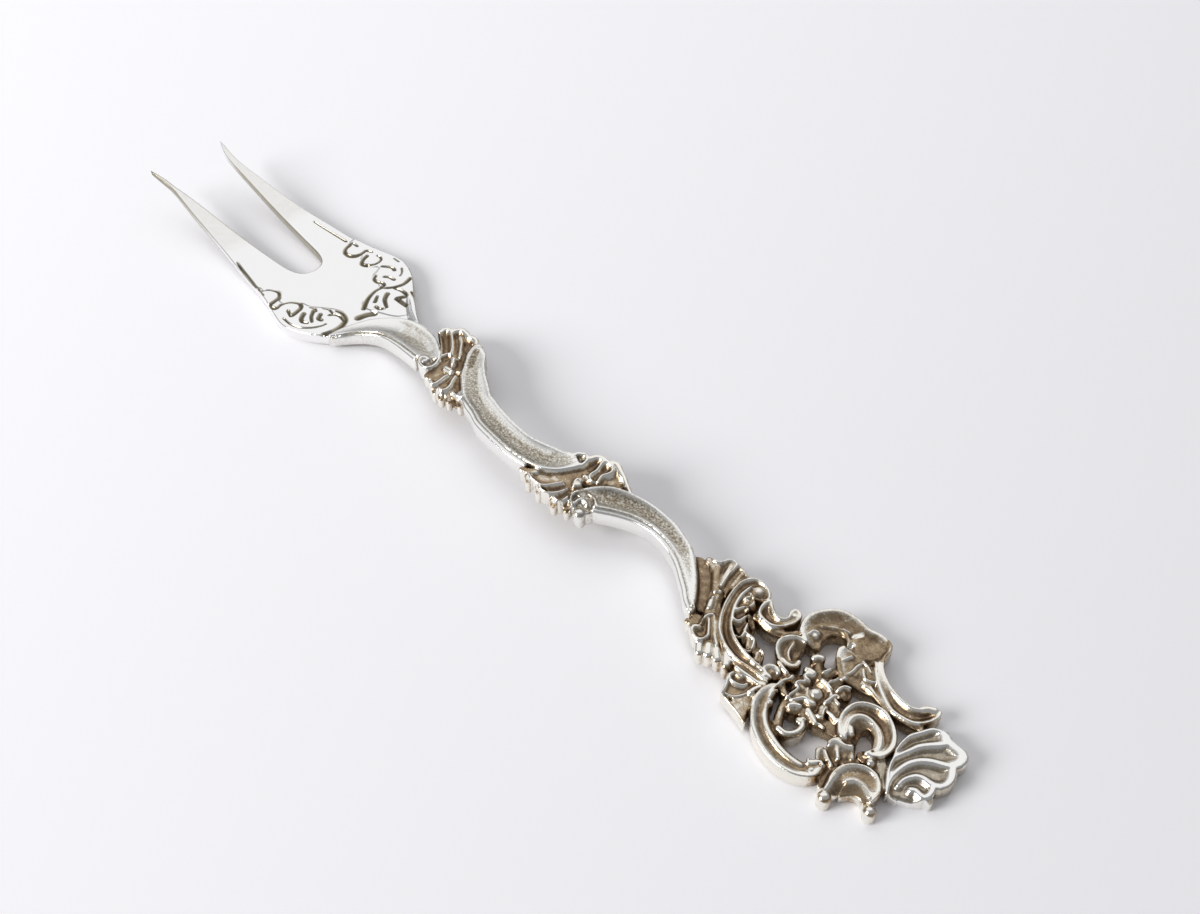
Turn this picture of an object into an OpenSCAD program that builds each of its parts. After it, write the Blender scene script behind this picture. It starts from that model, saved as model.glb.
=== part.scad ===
// Two-tined pickle fork with an openwork rococo handle, in millimetres.
// It lies on its back: tines towards -X, finial towards +X, the table is z = 0.
// The relief is drawn with a round brush: every path point is [along, across, half width].

/* [Tine head] */
// Length of the tines, from their tips to the end of the slot
tine_length = 32.5; // [28:0.5:40]
// Length of the bowl, from the end of the slot to the start of the neck
bowl_length = 14.5; // [12:0.5:18]
// Greatest width of the head
head_width = 21.6; // [18:0.2:25]
// Width across both tines at the end of the slot
shoulder_width = 17.8; // [16:0.2:20]
// Distance between the two tine tips
tip_spread = 12.2; // [11.5:0.1:13.5]
// Width of the slot between the tines, near the tips
slot_mouth = 10.4; // [9.4:0.1:10.6]
// Width of the slot at its closed end
slot_root = 5.2; // [4.4:0.1:6.2]
// Length over which a tine narrows to its tip
tip_taper = 6; // [3:0.5:9]
// Width left at a tine tip
tip_width = 0.4; // [0.3:0.05:0.8]
// Thickness of the metal at the tine tips
tip_thickness = 1.0; // [0.8:0.1:1.4]
// Thickness of the head
head_thickness = 1.7; // [1.4:0.1:2.2]
// Height of the carved border above the head
border_rise = 0.5; // [0.3:0.05:0.8]
// Half width of the roll along the outer edge of the tines
edge_radius = 0.35; // [0.25:0.05:0.5]
// Height of the tine tips above the table
tip_rise = 5.0; // [3:0.5:7]
// Turn of the head against the line of the handle, in degrees
head_turn = 0.95; // [0:0.05:2]

/* [Stem] */
// Length of the bare neck, from the bowl to the upper clasp
neck_length = 11; // [9:0.5:15]
// Length of the upper clasp
upper_clasp_length = 15; // [13:0.5:18]
// Length of the bare middle band, between the clasps
middle_length = 16; // [13:0.5:22]
// Length of the lower clasp
lower_clasp_length = 10; // [9:0.5:12]
// Length of the bare lower band, from the lower clasp to the collar
lower_length = 13; // [11:0.5:17]
// Width across the widest part of the neck band
band_width = 4.0; // [3.4:0.1:4.8]
// Height of the arch of the stem above the table
arch_rise = 3.6; // [2:0.2:5]

/* [Terminal] */
// Length of the terminal, from the first fan lobe to the end of the finial
terminal_length = 38; // [34:0.5:44]
// Width of the terminal, from the arch to the lower scroll
terminal_width = 21.6; // [19:0.2:25]

/* [Relief] */
// Thickness of the stem and the collar from the back to the highest relief
handle_thickness = 2.8; // [2.5:0.1:3.4]
// Thickness of the shell finial and the scrolls beside it
finial_thickness = 2.2; // [1.9:0.1:2.8]
// Depth of the flute between the two rims of a scroll
flute_depth = 0.7; // [0.4:0.1:1]
// Depth of the webs that carry the lobes, below the highest relief
web_depth = 1.0; // [0.8:0.1:1.3]
// Half width of the rims that edge a scroll
rim_radius = 0.4; // [0.35:0.01:0.48]
// Chamfer round the crown of every lobe and rim
crown = 0.28; // [0.15:0.01:0.32]
// Thickness of the plate under the ribs of the shell finial
shell_plate = 1.4; // [1:0.1:1.6]
// Half width of the ribs of the shell finial
rib_radius = 0.5; // [0.4:0.05:0.6]

/* [Seams] */
// Width of the soldered seam between two pieces
solder_gap = 0.05; // [0.03:0.01:0.1]

/* [Hidden] */

// Steps along one span of a smooth path, and sides of the brush
span_steps = 2;
brush_sides = 6;

// Stations along the fork: on the drawing grid, and where the sizes above put them
bowl_x = tine_length + bowl_length;
upper_clasp_x = bowl_x + neck_length;
middle_x = upper_clasp_x + upper_clasp_length;
lower_clasp_x = middle_x + middle_length;
lower_x = lower_clasp_x + lower_clasp_length;
terminal_x = lower_x + lower_length;
fork_length = terminal_x + terminal_length;
grid_x = [[0, 0], [32.5, tine_length], [47, bowl_x], [58, upper_clasp_x], [73, middle_x],
    [89, lower_clasp_x], [99, lower_x], [112, terminal_x], [150, fork_length]];

// Scale across the fork, for the shoulders, the head, the stem and the terminal
shoulder_scale = shoulder_width / 17.8;
head_scale = head_width / 21.6;
stem_scale = band_width / 4;
terminal_scale = terminal_width / 21.6;
grid_y = [[32.5, shoulder_scale], [37, head_scale], [44, head_scale], [52, stem_scale],
    [108, stem_scale], [116, terminal_scale]];

// A point of the drawing grid, and a path, at their real place and size
function at(p) = let (k = lookup(p[0], grid_y)) [lookup(p[0], grid_x), p[1] * k, p[2] * k];
function placed(path) = [for (p = path) at(p)];

// Line of the back: tips up, heel on the table, arched stem, terminal flat on the table
heel_x = lookup(38, grid_x);
crest_x = lookup(84, grid_x);
rest_x = lookup(138, grid_x);
function swing(t) = (1 - cos(180 * min(max(t, 0), 1))) / 2;
function back_z(x) = x < heel_x
    ? tip_rise * pow((heel_x - x) / heel_x, 2)
    : arch_rise * (swing((x - heel_x) / (crest_x - heel_x)) - swing((x - crest_x) / (rest_x - crest_x)));

// Thickness of the metal along the fork
function stock(x) = lookup(x, [[0, tip_thickness], [tine_length, head_thickness],
    [lookup(44, grid_x), head_thickness], [lookup(54, grid_x), handle_thickness],
    [lookup(126, grid_x), handle_thickness], [lookup(145, grid_x), finial_thickness]]);

// Curve through the points of a path
function bend(a, b, c, d, t) =
    (2 * b + (c - a) * t + (2 * a - 5 * b + 4 * c - d) * pow(t, 2)
        + (3 * b - a - 3 * c + d) * pow(t, 3)) / 2;
function smooth(path, steps = span_steps) = let (n = len(path) - 1) concat(
    [for (i = [0 : n - 1]) for (k = [0 : steps - 1])
        bend(path[max(i - 1, 0)], path[i], path[i + 1], path[min(i + 2, n)], k / steps)],
    [path[n]]);

// Unit normal of a path at one of its points, and the path moved sideways by its half width
function across(path, i) = let (
    n = len(path) - 1,
    d = path[min(i + 1, n)] - path[max(i - 1, 0)],
    l = norm([d[0], d[1]])) [-d[1] / l, d[0] / l];
function edge(path, side) = [for (i = [0 : len(path) - 1])
    let (m = across(path, i) * side * path[i][2]) [path[i][0] + m[0], path[i][1] + m[1]]];
function reversed(list) = [for (i = [len(list) - 1 : -1 : 0]) list[i]];
function outline(path) = concat(edge(path, 1), reversed(edge(path, -1)));

// Middle of the fork, which stands over the origin
middle_x0 = fork_length / 2;
middle_y0 = (head_width / 2 + head_turn * heel_x * PI / 180 - 13.35 * terminal_scale) / 2;
module on_origin() translate([-middle_x0, -middle_y0, 0]) children();

// Section of a fluted scroll, from its left foot over both rims to its right foot
function section(r, h) = let (floor_half = max(r - 2 * rim_radius, r * 0.15), c = min(crown, r * 0.4)) [
    [r, 0], [r, h - c], [r - c, h], [floor_half, h - flute_depth],
    [-floor_half, h - flute_depth], [c - r, h], [-r, h - c], [-r, 0]];
function ring(path, i) = let (p = path[i], m = across(path, i))
    [for (q = section(p[2], stock(p[0])))
        [p[0] + m[0] * q[0], p[1] + m[1] * q[0], back_z(p[0]) + q[1]]];

// A fluted scroll: its section carried along a path
module scroll(path) {
    n = len(path);
    k = len(section(1, 1));
    polyhedron(
        points = [for (i = [0 : n - 1]) each ring(path, i)],
        faces = concat(
            [for (i = [0 : n - 2]) for (j = [0 : k - 1])
                each [[i * k + j, (i + 1) * k + j, i * k + (j + 1) % k],
                    [i * k + (j + 1) % k, (i + 1) * k + j, (i + 1) * k + (j + 1) % k]]],
            [[for (j = [0 : k - 1]) j], [for (j = [k - 1 : -1 : 0]) (n - 1) * k + j]]));
}

// One touch of the brush: a post on the back of the fork, with a chamfered crown
module post(p, depth, chamfer) {
    h = stock(p[0]) - depth;
    c = min(chamfer, p[2] * 0.7);
    translate([p[0], p[1], back_z(p[0])]) {
        cylinder(h = h - c, r = p[2], $fn = brush_sides);
        if (c > 0) cylinder(h = h, r = p[2] - c, $fn = brush_sides);
    }
}
// A stroke of the brush along a path; a path of one point is a bead
module stroke(path, depth, chamfer) {
    if (len(path) == 1) hull() post(path[0], depth, chamfer);
    else for (i = [0 : len(path) - 2]) hull() {
        post(path[i], depth, chamfer);
        post(path[i + 1], depth, chamfer);
    }
}
// What such a stroke covers, seen from above
module shadow(path) {
    n = len(path) - 1;
    for (i = [0 : max(n - 1, 0)]) hull()
        for (p = [path[i], path[min(i + 1, n)]])
            translate([p[0], p[1]]) circle(r = p[2], $fn = brush_sides);
}

// A figure is [scrolls, webs, lobes]: fluted scrolls, low webs, and lobes or beads of full height
module figure(f) {
    for (path = f[0]) scroll(smooth(placed(path)));
    for (path = f[1]) stroke(placed(path), web_depth, 0);
    for (path = f[2]) stroke(placed(path), 0, crown);
}
module figure_shadow(f) {
    for (path = f[0]) polygon(outline(smooth(placed(path))));
    for (path = concat(f[1], f[2])) shadow(placed(path));
}
// Room for a neighbouring piece and its soldered seam
module seam(f) translate([0, 0, -1]) linear_extrude(arch_rise + handle_thickness + 3)
    offset(delta = solder_gap) figure_shadow(f);

// Figures of the stem
neck_figure = [
    [[[47.1, -6.2, 0.6], [47.6, -3.9, 1.2], [49.2, -1.4, 1.7], [52.3, 0.7, 2], [55, 1.05, 2],
        [57.6, 0.8, 1.85], [60, -0.1, 1.4], [62, -1.3, 1], [62.7, -1.8, 0.9]]],
    [],
    [[[60.4, -1.9, 0.35], [61, -1.1, 0.35], [61.9, -0.7, 0.35], [62.8, -0.8, 0.35], [63.5, -1.5, 0.35],
        [63.5, -2.3, 0.35], [62.9, -2.8, 0.35], [62.2, -2.5, 0.35], [62.2, -1.9, 0.45]]]];
upper_clasp_figure = [
    [],
    [[[60.6, 4.2, 1.2], [63.4, 2, 1.8], [65.6, -0.4, 1.7], [67.6, -2.4, 1.5], [70.4, -3.9, 1]]],
    [[[59.3, 4.3, 0.6], [63.2, 0.9, 0.4]], [[61, 5.2, 0.65], [64, 2, 0.4]],
        [[62.9, 5.3, 0.65], [65.2, 2.8, 0.4]], [[64.4, 5, 0.55], [65.2, 3.3, 0.5]],
        [[65.1, 1.3, 0.5], [66, 0.1, 0.55]], [[64.2, -0.2, 0.5], [67, -0.7, 0.5]],
        [[64.7, -1.3, 0.5], [66.3, -3.3, 0.6]], [[66.2, -1.4, 0.45], [67.5, -3.7, 0.55]],
        [[67.7, -1.7, 0.4], [68.9, -4.1, 0.55]], [[69.2, -2.2, 0.4], [71, -3.7, 0.5]],
        [[70, -4.1, 0.45], [71.6, -5.1, 0.5]], [[71.6, -3.9, 0.45], [73.4, -4.7, 0.5]]]];
middle_figure = [
    [[[66.7, 4.4, 0.95], [68.1, 2.6, 1.2], [70.2, 0.4, 1.4], [73, -1.6, 1.55], [76.5, -2.6, 1.7],
        [80, -3.2, 1.75], [84, -3.6, 1.8], [87, -3.2, 1.8], [89.6, -2.3, 1.75], [91.2, -1.1, 1.3]]],
    [],
    [[[89.6, -0.7, 0.35], [90, 0, 0.35], [90.6, 0.6, 0.35], [91.3, 0.9, 0.35], [92, 0.6, 0.35],
        [92.2, -0.1, 0.35], [91.8, -0.6, 0.35], [91.2, -0.5, 0.4], [91.1, -0.1, 0.45]]]];
lower_clasp_figure = [
    [],
    [[[96.4, 1.2, 1.2], [94.6, 0.6, 1.7], [93.9, -1.8, 1.8], [93.2, -4.3, 1.6]]],
    [[[93.4, 1.8, 0.65], [93.4, -0.6, 0.45]], [[95, 2.4, 0.65], [94.6, 0, 0.45]],
        [[96.1, 2.1, 0.65], [98.6, 1.2, 0.4]], [[96.3, 1, 0.6], [95.3, -0.8, 0.45]],
        [[92.7, -1.6, 0.5], [95.3, -1.8, 0.5]], [[94.2, -2.5, 0.5], [94.7, -3.7, 0.45]],
        [[92, -3.4, 0.5], [90.5, -5.1, 0.65]], [[92.8, -3.7, 0.45], [92, -5.7, 0.55]],
        [[93.9, -4.3, 0.45], [93.4, -6, 0.55]], [[94.9, -4.6, 0.45], [94.7, -6, 0.5]]]];
lower_figure = [
    [[[96.4, -4, 1], [97.2, -2.1, 1.4], [99, -0.9, 1.5], [101.4, 0, 1.35], [104, 0.6, 1.25],
        [107, 0.7, 1.15], [109.6, 0.1, 1.15], [112, -1.3, 1.1], [114.4, -3.2, 1], [116.4, -5, 0.8]]],
    [],
    [[[99, -3.2, 0.35], [98.6, -3.8, 0.35], [97.8, -3.9, 0.35], [97, -4, 0.35], [96.5, -4.6, 0.35],
        [96.6, -5.3, 0.35], [97.3, -5.5, 0.35], [97.9, -5.1, 0.35], [97.6, -4.7, 0.45]]]];

// Figures of the terminal
collar_figure = [
    [[[119.8, 2.9, 0.7], [118.4, 2.7, 0.8], [118, 1, 0.85], [118.3, -1.1, 0.9], [119.6, -3.4, 1],
        [121.6, -5, 1], [124.4, -5.7, 0.95], [127.6, -5.5, 0.7]]],
    [[[119.9, 2.2, 0.7], [119.6, 0.4, 0.9], [120.4, -1.6, 1], [122, -3.2, 1], [124.2, -4.2, 0.9],
        [126, -4.4, 0.7]], [[114.4, 1, 1], [116.2, 1.4, 1.4]],
        [[115.4, 0.4, 1], [116.8, -1.6, 1.1], [117.6, -4, 0.9]]],
    [[[113.4, 1.3, 0.6], [116.8, -2.4, 0.45]], [[114.9, 2.7, 0.75], [116.8, -0.9, 0.45]],
        [[116.5, 2.7, 0.6], [117.2, 0, 0.45]], [[115, -1.2, 0.5], [117.4, -4.2, 0.5]],
        [[120, 2.1, 0.75]], [[120, 0.5, 0.6]],
        [[120.5, -0.6, 0.5], [120.5, -1.9, 0.5]], [[121.6, -2.2, 0.5], [121.9, -3.4, 0.55]],
        [[123.4, -3.1, 0.5], [124, -4.4, 0.55]], [[125.4, -3.5, 0.5], [125.9, -4.5, 0.5]],
        [[118, -4.3, 0.5], [117.5, -5.7, 0.5]], [[119.7, -4.5, 0.5], [119.1, -6.4, 0.55]],
        [[120.6, -5.7, 0.5], [120.9, -6.8, 0.55]], [[122.2, -6.1, 0.5], [122.6, -6.9, 0.5]],
        [[123.8, -6.3, 0.5], [124.1, -6.9, 0.5]]]];
leaf_figure = [
    [[[121.6, 2.1, 0.5], [122, 0.8, 0.75], [123.2, 0.4, 0.75], [124.4, 1, 0.8], [124.9, 2.9, 0.7]],
        [[128.3, 1, 0.6], [127.1, 0.5, 0.85], [126.7, -0.8, 0.85], [127.6, -1.6, 0.75],
            [128.8, -1.5, 0.5]],
        [[128.2, 1.2, 0.8], [127.5, 3.6, 1.4], [128.2, 6.1, 1.6], [130.3, 6.9, 1.6],
            [132.6, 6.6, 1.8], [134, 5.4, 1.4], [135.8, 3.9, 1], [138.4, 2.9, 0.95],
            [141.2, 2.7, 0.95], [143.1, 3.6, 0.9]]],
    [[[121.6, -0.8, 0.6], [123.6, -0.8, 0.6], [126, -0.7, 0.7]],
        [[131.8, 3.4, 0.7], [133.2, 2.6, 1.1], [135, 2.6, 1], [136.6, 2.2, 0.8], [139.4, 1.6, 0.7],
            [143.4, 1.7, 0.6]]],
    [[[124.9, 3.2, 0.6]], [[127.8, 3.1, 0.75]],
        [[143.3, 4.3, 0.8]], [[132.4, 7.4, 0.8], [134.2, 7.5, 0.75]],
        [[131.6, 3.5, 0.45], [132.9, 1.8, 0.5]], [[132.8, 3.9, 0.45], [133.6, 2.2, 0.45]],
        [[134.2, 3.7, 0.45], [134.5, 2.3, 0.45]], [[135.2, 3.1, 0.45], [136.2, 2.1, 0.45]],
        [[137.8, 1.6, 0.5], [139.2, 1.5, 0.5]], [[141, 1.5, 0.5], [142.6, 1.6, 0.5]]]];
lower_scroll_figure = [
    [[[129.5, -6.2, 0.7], [129.6, -7.8, 0.95], [130.8, -9.9, 1.15], [133, -11.5, 1.25],
        [135.6, -12.1, 1.2], [137.8, -11.6, 1.05], [138.9, -10.5, 0.9]]],
    [[[125.4, -7, 0.7], [126.8, -8.4, 1.2], [128.6, -9.8, 1.1]]],
    [[[138.7, -10.3, 0.75]], [[130.3, -7.4, 0.6]],
        [[125.4, -7.4, 0.6], [126.2, -9.5, 0.6]], [[126.9, -7.7, 0.55], [127.5, -9.8, 0.6]],
        [[128.2, -8.9, 0.5], [129, -10.7, 0.6]], [[124.9, -6.8, 0.45], [127.8, -6.7, 0.45]]]];
rosette_tips = [[130.5, 0.7], [132.2, 0.4], [133.6, 0.4], [135, -0.3], [135.7, -2], [136.3, -3.7],
    [135.2, -4.7], [133.4, -4.9], [131.4, -4.9], [129.9, -4.6], [130, -2.8], [130.4, -0.9]];
rosette_heart = [133, -2.4];
rosette_figure = [
    [[[127.6, -4.8, 0.5], [127.9, -4.1, 0.6], [128.7, -4, 0.6], [129.4, -4.6, 0.6]]],
    [[[132.6, -2, 2.4], [133.4, -2.6, 2.4]], [[132.8, -4, 1.4], [132.8, -6.2, 1.1]],
        [[134, -6.2, 0.7], [134.8, -7.2, 0.5], [134.4, -8.4, 0.5], [133, -8.9, 0.5], [131.8, -8.6, 0.5]],
        [[129, -4.4, 0.8], [131.4, -3.6, 1]]],
    concat([for (p = rosette_tips) [[p[0], p[1], 0.5], concat(p * 0.6 + rosette_heart * 0.4, 0.4)]],
        [[concat(rosette_heart, 0.85)], [[132.6, -5.8, 0.75]],
            [[134, -5.4, 0.5], [136.1, -5.7, 0.45]]])];
inner_figure = [
    [[[138.5, -4.9, 0.6], [137.5, -3.2, 0.8], [137.5, -1.4, 0.85], [138.7, -0.3, 0.9],
        [140.4, -0.4, 0.9], [141.9, -1.5, 0.85], [142.5, -3, 0.7], [142.2, -4.4, 0.6]]],
    [[[138.9, -5, 0.6], [139.4, -6.6, 1], [139.8, -8.2, 1], [140.4, -10.2, 0.6], [141, -11.6, 0.5]],
        [[142.4, -4.8, 0.6], [141.8, -5.6, 0.6], [140, -6.6, 0.8]]],
    [[[138.7, -3.7, 0.55]], [[138.7, -5.2, 0.55]],
        [[142.6, -5.1, 0.7]], [[138.5, -6.3, 0.45], [139.3, -7.5, 0.5]],
        [[139.7, -5.8, 0.45], [140.3, -7, 0.5]], [[138.5, -8, 0.45], [139.8, -8.7, 0.5]]]];
foot_figure = [
    [[[142, -11.4, 0.8], [141.8, -9.2, 0.85], [142.4, -7.6, 0.95], [143.7, -7, 0.95], [144.9, -7.7, 0.9],
        [145.5, -9, 0.7]]],
    [[[142.4, -9.5, 0.9], [143.8, -8.9, 1.2], [145.2, -9.1, 0.9]]],
    [[[142.1, -11.7, 0.8]], [[146.1, -9.6, 0.75]],
        [[142.7, -8.8, 0.35], [143.7, -8.3, 0.35], [145, -8.7, 0.35]],
        [[142.6, -10.6, 0.4], [143.5, -9.9, 0.4], [144.8, -9.7, 0.4]]]];

// Ribs of the shell finial, from its base to the scalloped edge
shell_ribs = [
    [[146.2, -6.2], [144.6, -4], [143.95, -1.2], [144.5, 1.8], [145.7, 3]],
    [[144.9, -4.6], [144.6, -1.6], [145.5, 0.6], [146.8, 2.4]],
    [[146, -5.9], [145.5, -3.6], [146.4, -1.3], [148.2, 0.1], [149, 1.6]],
    [[146.5, -5.4], [146.6, -3.7], [147.8, -2.5], [149.4, -1.6]],
    [[146.8, -5.6], [147.8, -4.6], [149.4, -4.4]]];
shell_outline = [[146.2, -7.5], [144.8, -5.8], [143.8, -3.8], [143.4, -1.2], [143.9, 1.9], [145, 3.4],
    [146.4, 3.5], [147.4, 2.9], [148.6, 3], [149.7, 2], [149.7, 0.6], [150, -0.7], [149.8, -2.4],
    [150, -4.2], [149.3, -5.5], [147.9, -5.9], [147.4, -7], [147.5, -8.3], [146.9, -8.9], [146.4, -8.2]];
shell_closed = concat(shell_outline, [shell_outline[0]]);
function flat(path) = [for (p = smooth(placed([for (q = path) [q[0], q[1], 0]]))) [p[0], p[1]]];
function rib(path, r) = outline([for (p = flat(path)) [p[0], p[1], r]]);
module shell_plan() polygon(flat(shell_closed));

// The head in its own frame, symmetrical about the X axis
tip_y = tip_spread / 2;
function tine_outer(x) = tip_y + (shoulder_width - tip_spread) / 2 * pow(x / tine_length, 1.5);
function slot_side(x) = (slot_root + (slot_mouth - slot_root) * (1 - x / tine_length)) / 2;
function tine_inner(x) = slot_side(x)
    + (tip_y - tip_width - slot_side(0)) * pow(max(1 - x / tip_taper, 0), 2);
slot_steps = 8;
slot_bend = slot_root * 0.55;
slot_straight = tine_length - slot_bend;
bowl_points = [[36, 9.9], [38, 10.55], [40, 10.8], [42, 10.4], [44, 9.5], [46, 8.1], [47.3, 7]];
// The tang runs on along the neck band, which covers it from its middle line down
tang_points = [[48.6, 6], [50, 5], [52, 3.8], [54, 3], [57, 2.6], [57, 0], [52.3, -0.2],
    [49.3, -2.3], [47.8, -5.2]];
tang_x = lookup(57, grid_x);
tine_half = concat(
    [for (a = [75 : -15 : 0]) [slot_straight + slot_bend * sin(a), slot_side(slot_straight) * cos(a)]],
    [for (i = [slot_steps - 1 : -1 : 0]) let (x = slot_straight * i / slot_steps) [x, tine_inner(x)]],
    [for (i = [0 : slot_steps]) let (x = tine_length * i / slot_steps) [x, tine_outer(x)]],
    flat(bowl_points));
module head_plan() polygon(concat([[tine_length, 0]], tine_half, flat(tang_points),
    reversed([for (p = tine_half) [p[0], -p[1]]])));

// Side view of the metal along the fork, up to a height above its back
profile_steps = 16;
module head_slab(x1) rotate([90, 0, 0]) linear_extrude(head_width * 2, center = true) polygon(concat(
    [for (i = [0 : profile_steps]) let (x = x1 * i / profile_steps) [x, back_z(x)]],
    [for (i = [profile_steps : -1 : 0]) let (x = x1 * i / profile_steps) [x, back_z(x) + stock(x)]]));

// Carved border of one side of the head: bosses, crescent and leaf, with a roll along the tine
border_paths = [
    [[31.9, 7.2, 0.9], [32.3, 7.6, 1.1], [32.9, 8.5, 0.6]],
    [[35.3, 7.3, 0.7], [35.6, 7.9, 0.9], [36.4, 8.8, 0.5]],
    [[35.6, 9.4, 0.4], [38, 9.9, 0.55], [40.4, 9.9, 0.55], [42, 8.8, 0.4]],
    [[38, 7, 0.55], [38.8, 7.9, 0.6]],
    [[39.9, 6, 0.5], [40.9, 7.6, 0.55]],
    [[42.6, 5.2, 0.45], [42.9, 3.6, 0.5], [44, 2.3, 0.4]],
    [[44, 5.2, 0.5], [46.8, 3.4, 0.45]],
    [[43.4, 7.6, 0.45], [45, 7.2, 0.5], [46.4, 6, 0.45], [48, 5, 0.4]]];
edge_roll = [for (t = [0.72, 0.82, 0.94]) let (x = tine_length * t)
    [x, tine_outer(x) - edge_radius, edge_radius]];
module border() translate([0, 0, border_rise]) {
    stroke(edge_roll, 0, crown);
    for (path = border_paths) stroke(placed(path), 0, crown);
}

silver = [0.80, 0.79, 0.76];
oxidised = [0.62, 0.58, 0.48];

module tine_head() color(silver) on_origin() difference() {
    rotate([0, 0, head_turn]) union() {
        intersection() {
            translate([0, 0, -1]) linear_extrude(tip_rise + arch_rise + handle_thickness + 3)
                head_plan();
            head_slab(tang_x);
        }
        for (m = [0, 1]) mirror([0, m, 0]) border();
    }
    seam(neck_figure);
    seam(upper_clasp_figure);
}
module neck_band() color(silver) on_origin() difference() {
    figure(neck_figure);
    seam(upper_clasp_figure);
}
module upper_clasp() color(oxidised) on_origin() difference() {
    figure(upper_clasp_figure);
    seam(middle_figure);
}
module middle_band() color(silver) on_origin() difference() {
    figure(middle_figure);
    seam(lower_clasp_figure);
}
module lower_clasp() color(oxidised) on_origin() difference() {
    figure(lower_clasp_figure);
    seam(lower_figure);
}
module lower_band() color(silver) on_origin() difference() {
    figure(lower_figure);
    seam(collar_figure);
}
module collar_shell() color(oxidised) on_origin() difference() {
    figure(collar_figure);
    seam(leaf_figure);
    seam(rosette_figure);
    seam(lower_scroll_figure);
}
module leaf_scroll() color(oxidised) on_origin() difference() {
    figure(leaf_figure);
    seam(inner_figure);
    shell_seam();
}
module lower_scroll() color(oxidised) on_origin() difference() {
    figure(lower_scroll_figure);
    seam(inner_figure);
}
module rosette() color(oxidised) on_origin() difference() {
    figure(rosette_figure);
    seam(leaf_figure);
    seam(lower_scroll_figure);
    seam(inner_figure);
}
module inner_scroll() color(oxidised) on_origin() difference() {
    figure(inner_figure);
    seam(foot_figure);
    shell_seam();
}
module foot_scroll() color(oxidised) on_origin() difference() {
    figure(foot_figure);
    shell_seam();
}
module shell_seam() translate([0, 0, -1]) linear_extrude(handle_thickness + 2)
    offset(delta = solder_gap) shell_plan();
module shell_finial() color(oxidised) on_origin() union() {
    linear_extrude(shell_plate) shell_plan();
    for (path = shell_ribs) {
        translate([0, 0, shell_plate / 2]) linear_extrude(finial_thickness - crown - shell_plate / 2)
            polygon(rib(path, rib_radius));
        translate([0, 0, shell_plate / 2]) linear_extrude(finial_thickness - shell_plate / 2)
            polygon(rib(path, rib_radius - crown * 0.7));
    }
}

tine_head();
neck_band();
upper_clasp();
middle_band();
lower_clasp();
lower_band();
collar_shell();
leaf_scroll();
lower_scroll();
rosette();
inner_scroll();
foot_scroll();
shell_finial();
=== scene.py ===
import math
import re

import bpy
import numpy as np
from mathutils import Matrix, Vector


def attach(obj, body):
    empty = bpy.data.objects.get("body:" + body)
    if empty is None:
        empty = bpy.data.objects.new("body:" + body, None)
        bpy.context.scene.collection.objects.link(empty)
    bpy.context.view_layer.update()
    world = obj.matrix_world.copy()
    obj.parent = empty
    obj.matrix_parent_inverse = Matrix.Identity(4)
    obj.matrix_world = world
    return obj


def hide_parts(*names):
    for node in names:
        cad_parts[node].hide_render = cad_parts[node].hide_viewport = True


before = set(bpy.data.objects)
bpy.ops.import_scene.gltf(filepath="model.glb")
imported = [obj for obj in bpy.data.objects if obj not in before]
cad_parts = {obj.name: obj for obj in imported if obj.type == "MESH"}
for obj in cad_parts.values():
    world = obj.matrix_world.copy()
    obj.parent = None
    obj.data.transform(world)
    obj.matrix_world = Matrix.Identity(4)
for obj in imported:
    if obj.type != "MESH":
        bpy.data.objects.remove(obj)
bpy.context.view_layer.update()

# The fork is drawn in millimetres: x from the tine tips to the finial, y across, z up from the table.
# MIDDLE is the drawn point that stands over the origin of the frame.
MM = 0.001
MIDDLE = (75.0, -0.96)

# Every relief is a height over one shared grid, finer where there is carving.
STRETCHES = ((-1.8, 0.1), (7, 0.25), (30, 0.125), (44, 0.1), (111, 0.08), (151.3, None))  # start and spacing along x
GX = np.concatenate([np.arange(a, b, step) for (a, step), (b, _) in zip(STRETCHES, STRETCHES[1:])])
GY = np.arange(-14.4, 12.4, 0.08)
X, Y = np.meshgrid(GX, GY, indexing="ij")

# Profile along the fork: where its heel touches, its arch is highest and its terminal starts to lie flat
HEEL, CROWN, FLAT_FROM = 38, 84, 138
ARCH, TIP_RISE = 3.6, 5.0
STOCK = ((0, 1.0), (32.5, 1.7), (44, 1.7), (54, 2.8), (126, 2.8), (145, 2.2))  # thickness of the metal at some x
FULL_STOCK, PLATE_STOCK = 2.8, 1.7

# Shape of the strokes
SKIRT, SKIRT_SLOPE = 0.3, 4  # how far outside its edge a stroke still has a height, and its fall there
LOW = -99.0  # height of a node where it has no metal
FLAT_TOP, EDGE_DROP = 0.4, 0.6  # of a ridge: flat share of its half width, and drop of its edge against that width
SHOULDER = 0.1  # step from a line down to its flanks
MAX_FALL = 0.6  # of a rounded ridge
SAG_ROUNDS, SAG_STRIDE = 150, 1.8
CUT_DEPTH, CUT_FLARE, CUT_TARNISH_AND_SHADE = 0.3, 1.3, 0.85
FADE_END, FADE = 1.3, 0.6  # of the soft edge of a strip of tarnishing and painted light, against its half width


def ramp(v, start, end):
    """0 at the start, 1 at the end and level beyond them."""
    return np.clip((v - start) / (end - start), 0, 1)


def swing(t):
    """Eases from 0 to 1."""
    return (1 - np.cos(np.pi * np.clip(t, 0, 1))) / 2


def back_line(x):
    """Height of the back: tips up, heel on the table, arched stem, terminal flat on the table."""
    arch = ARCH * (swing((x - HEEL) / (CROWN - HEEL)) - swing((x - CROWN) / (FLAT_FROM - CROWN)))
    return np.where(x < HEEL, TIP_RISE * (np.clip(HEEL - x, 0, None) / HEEL) ** 2, arch)


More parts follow.
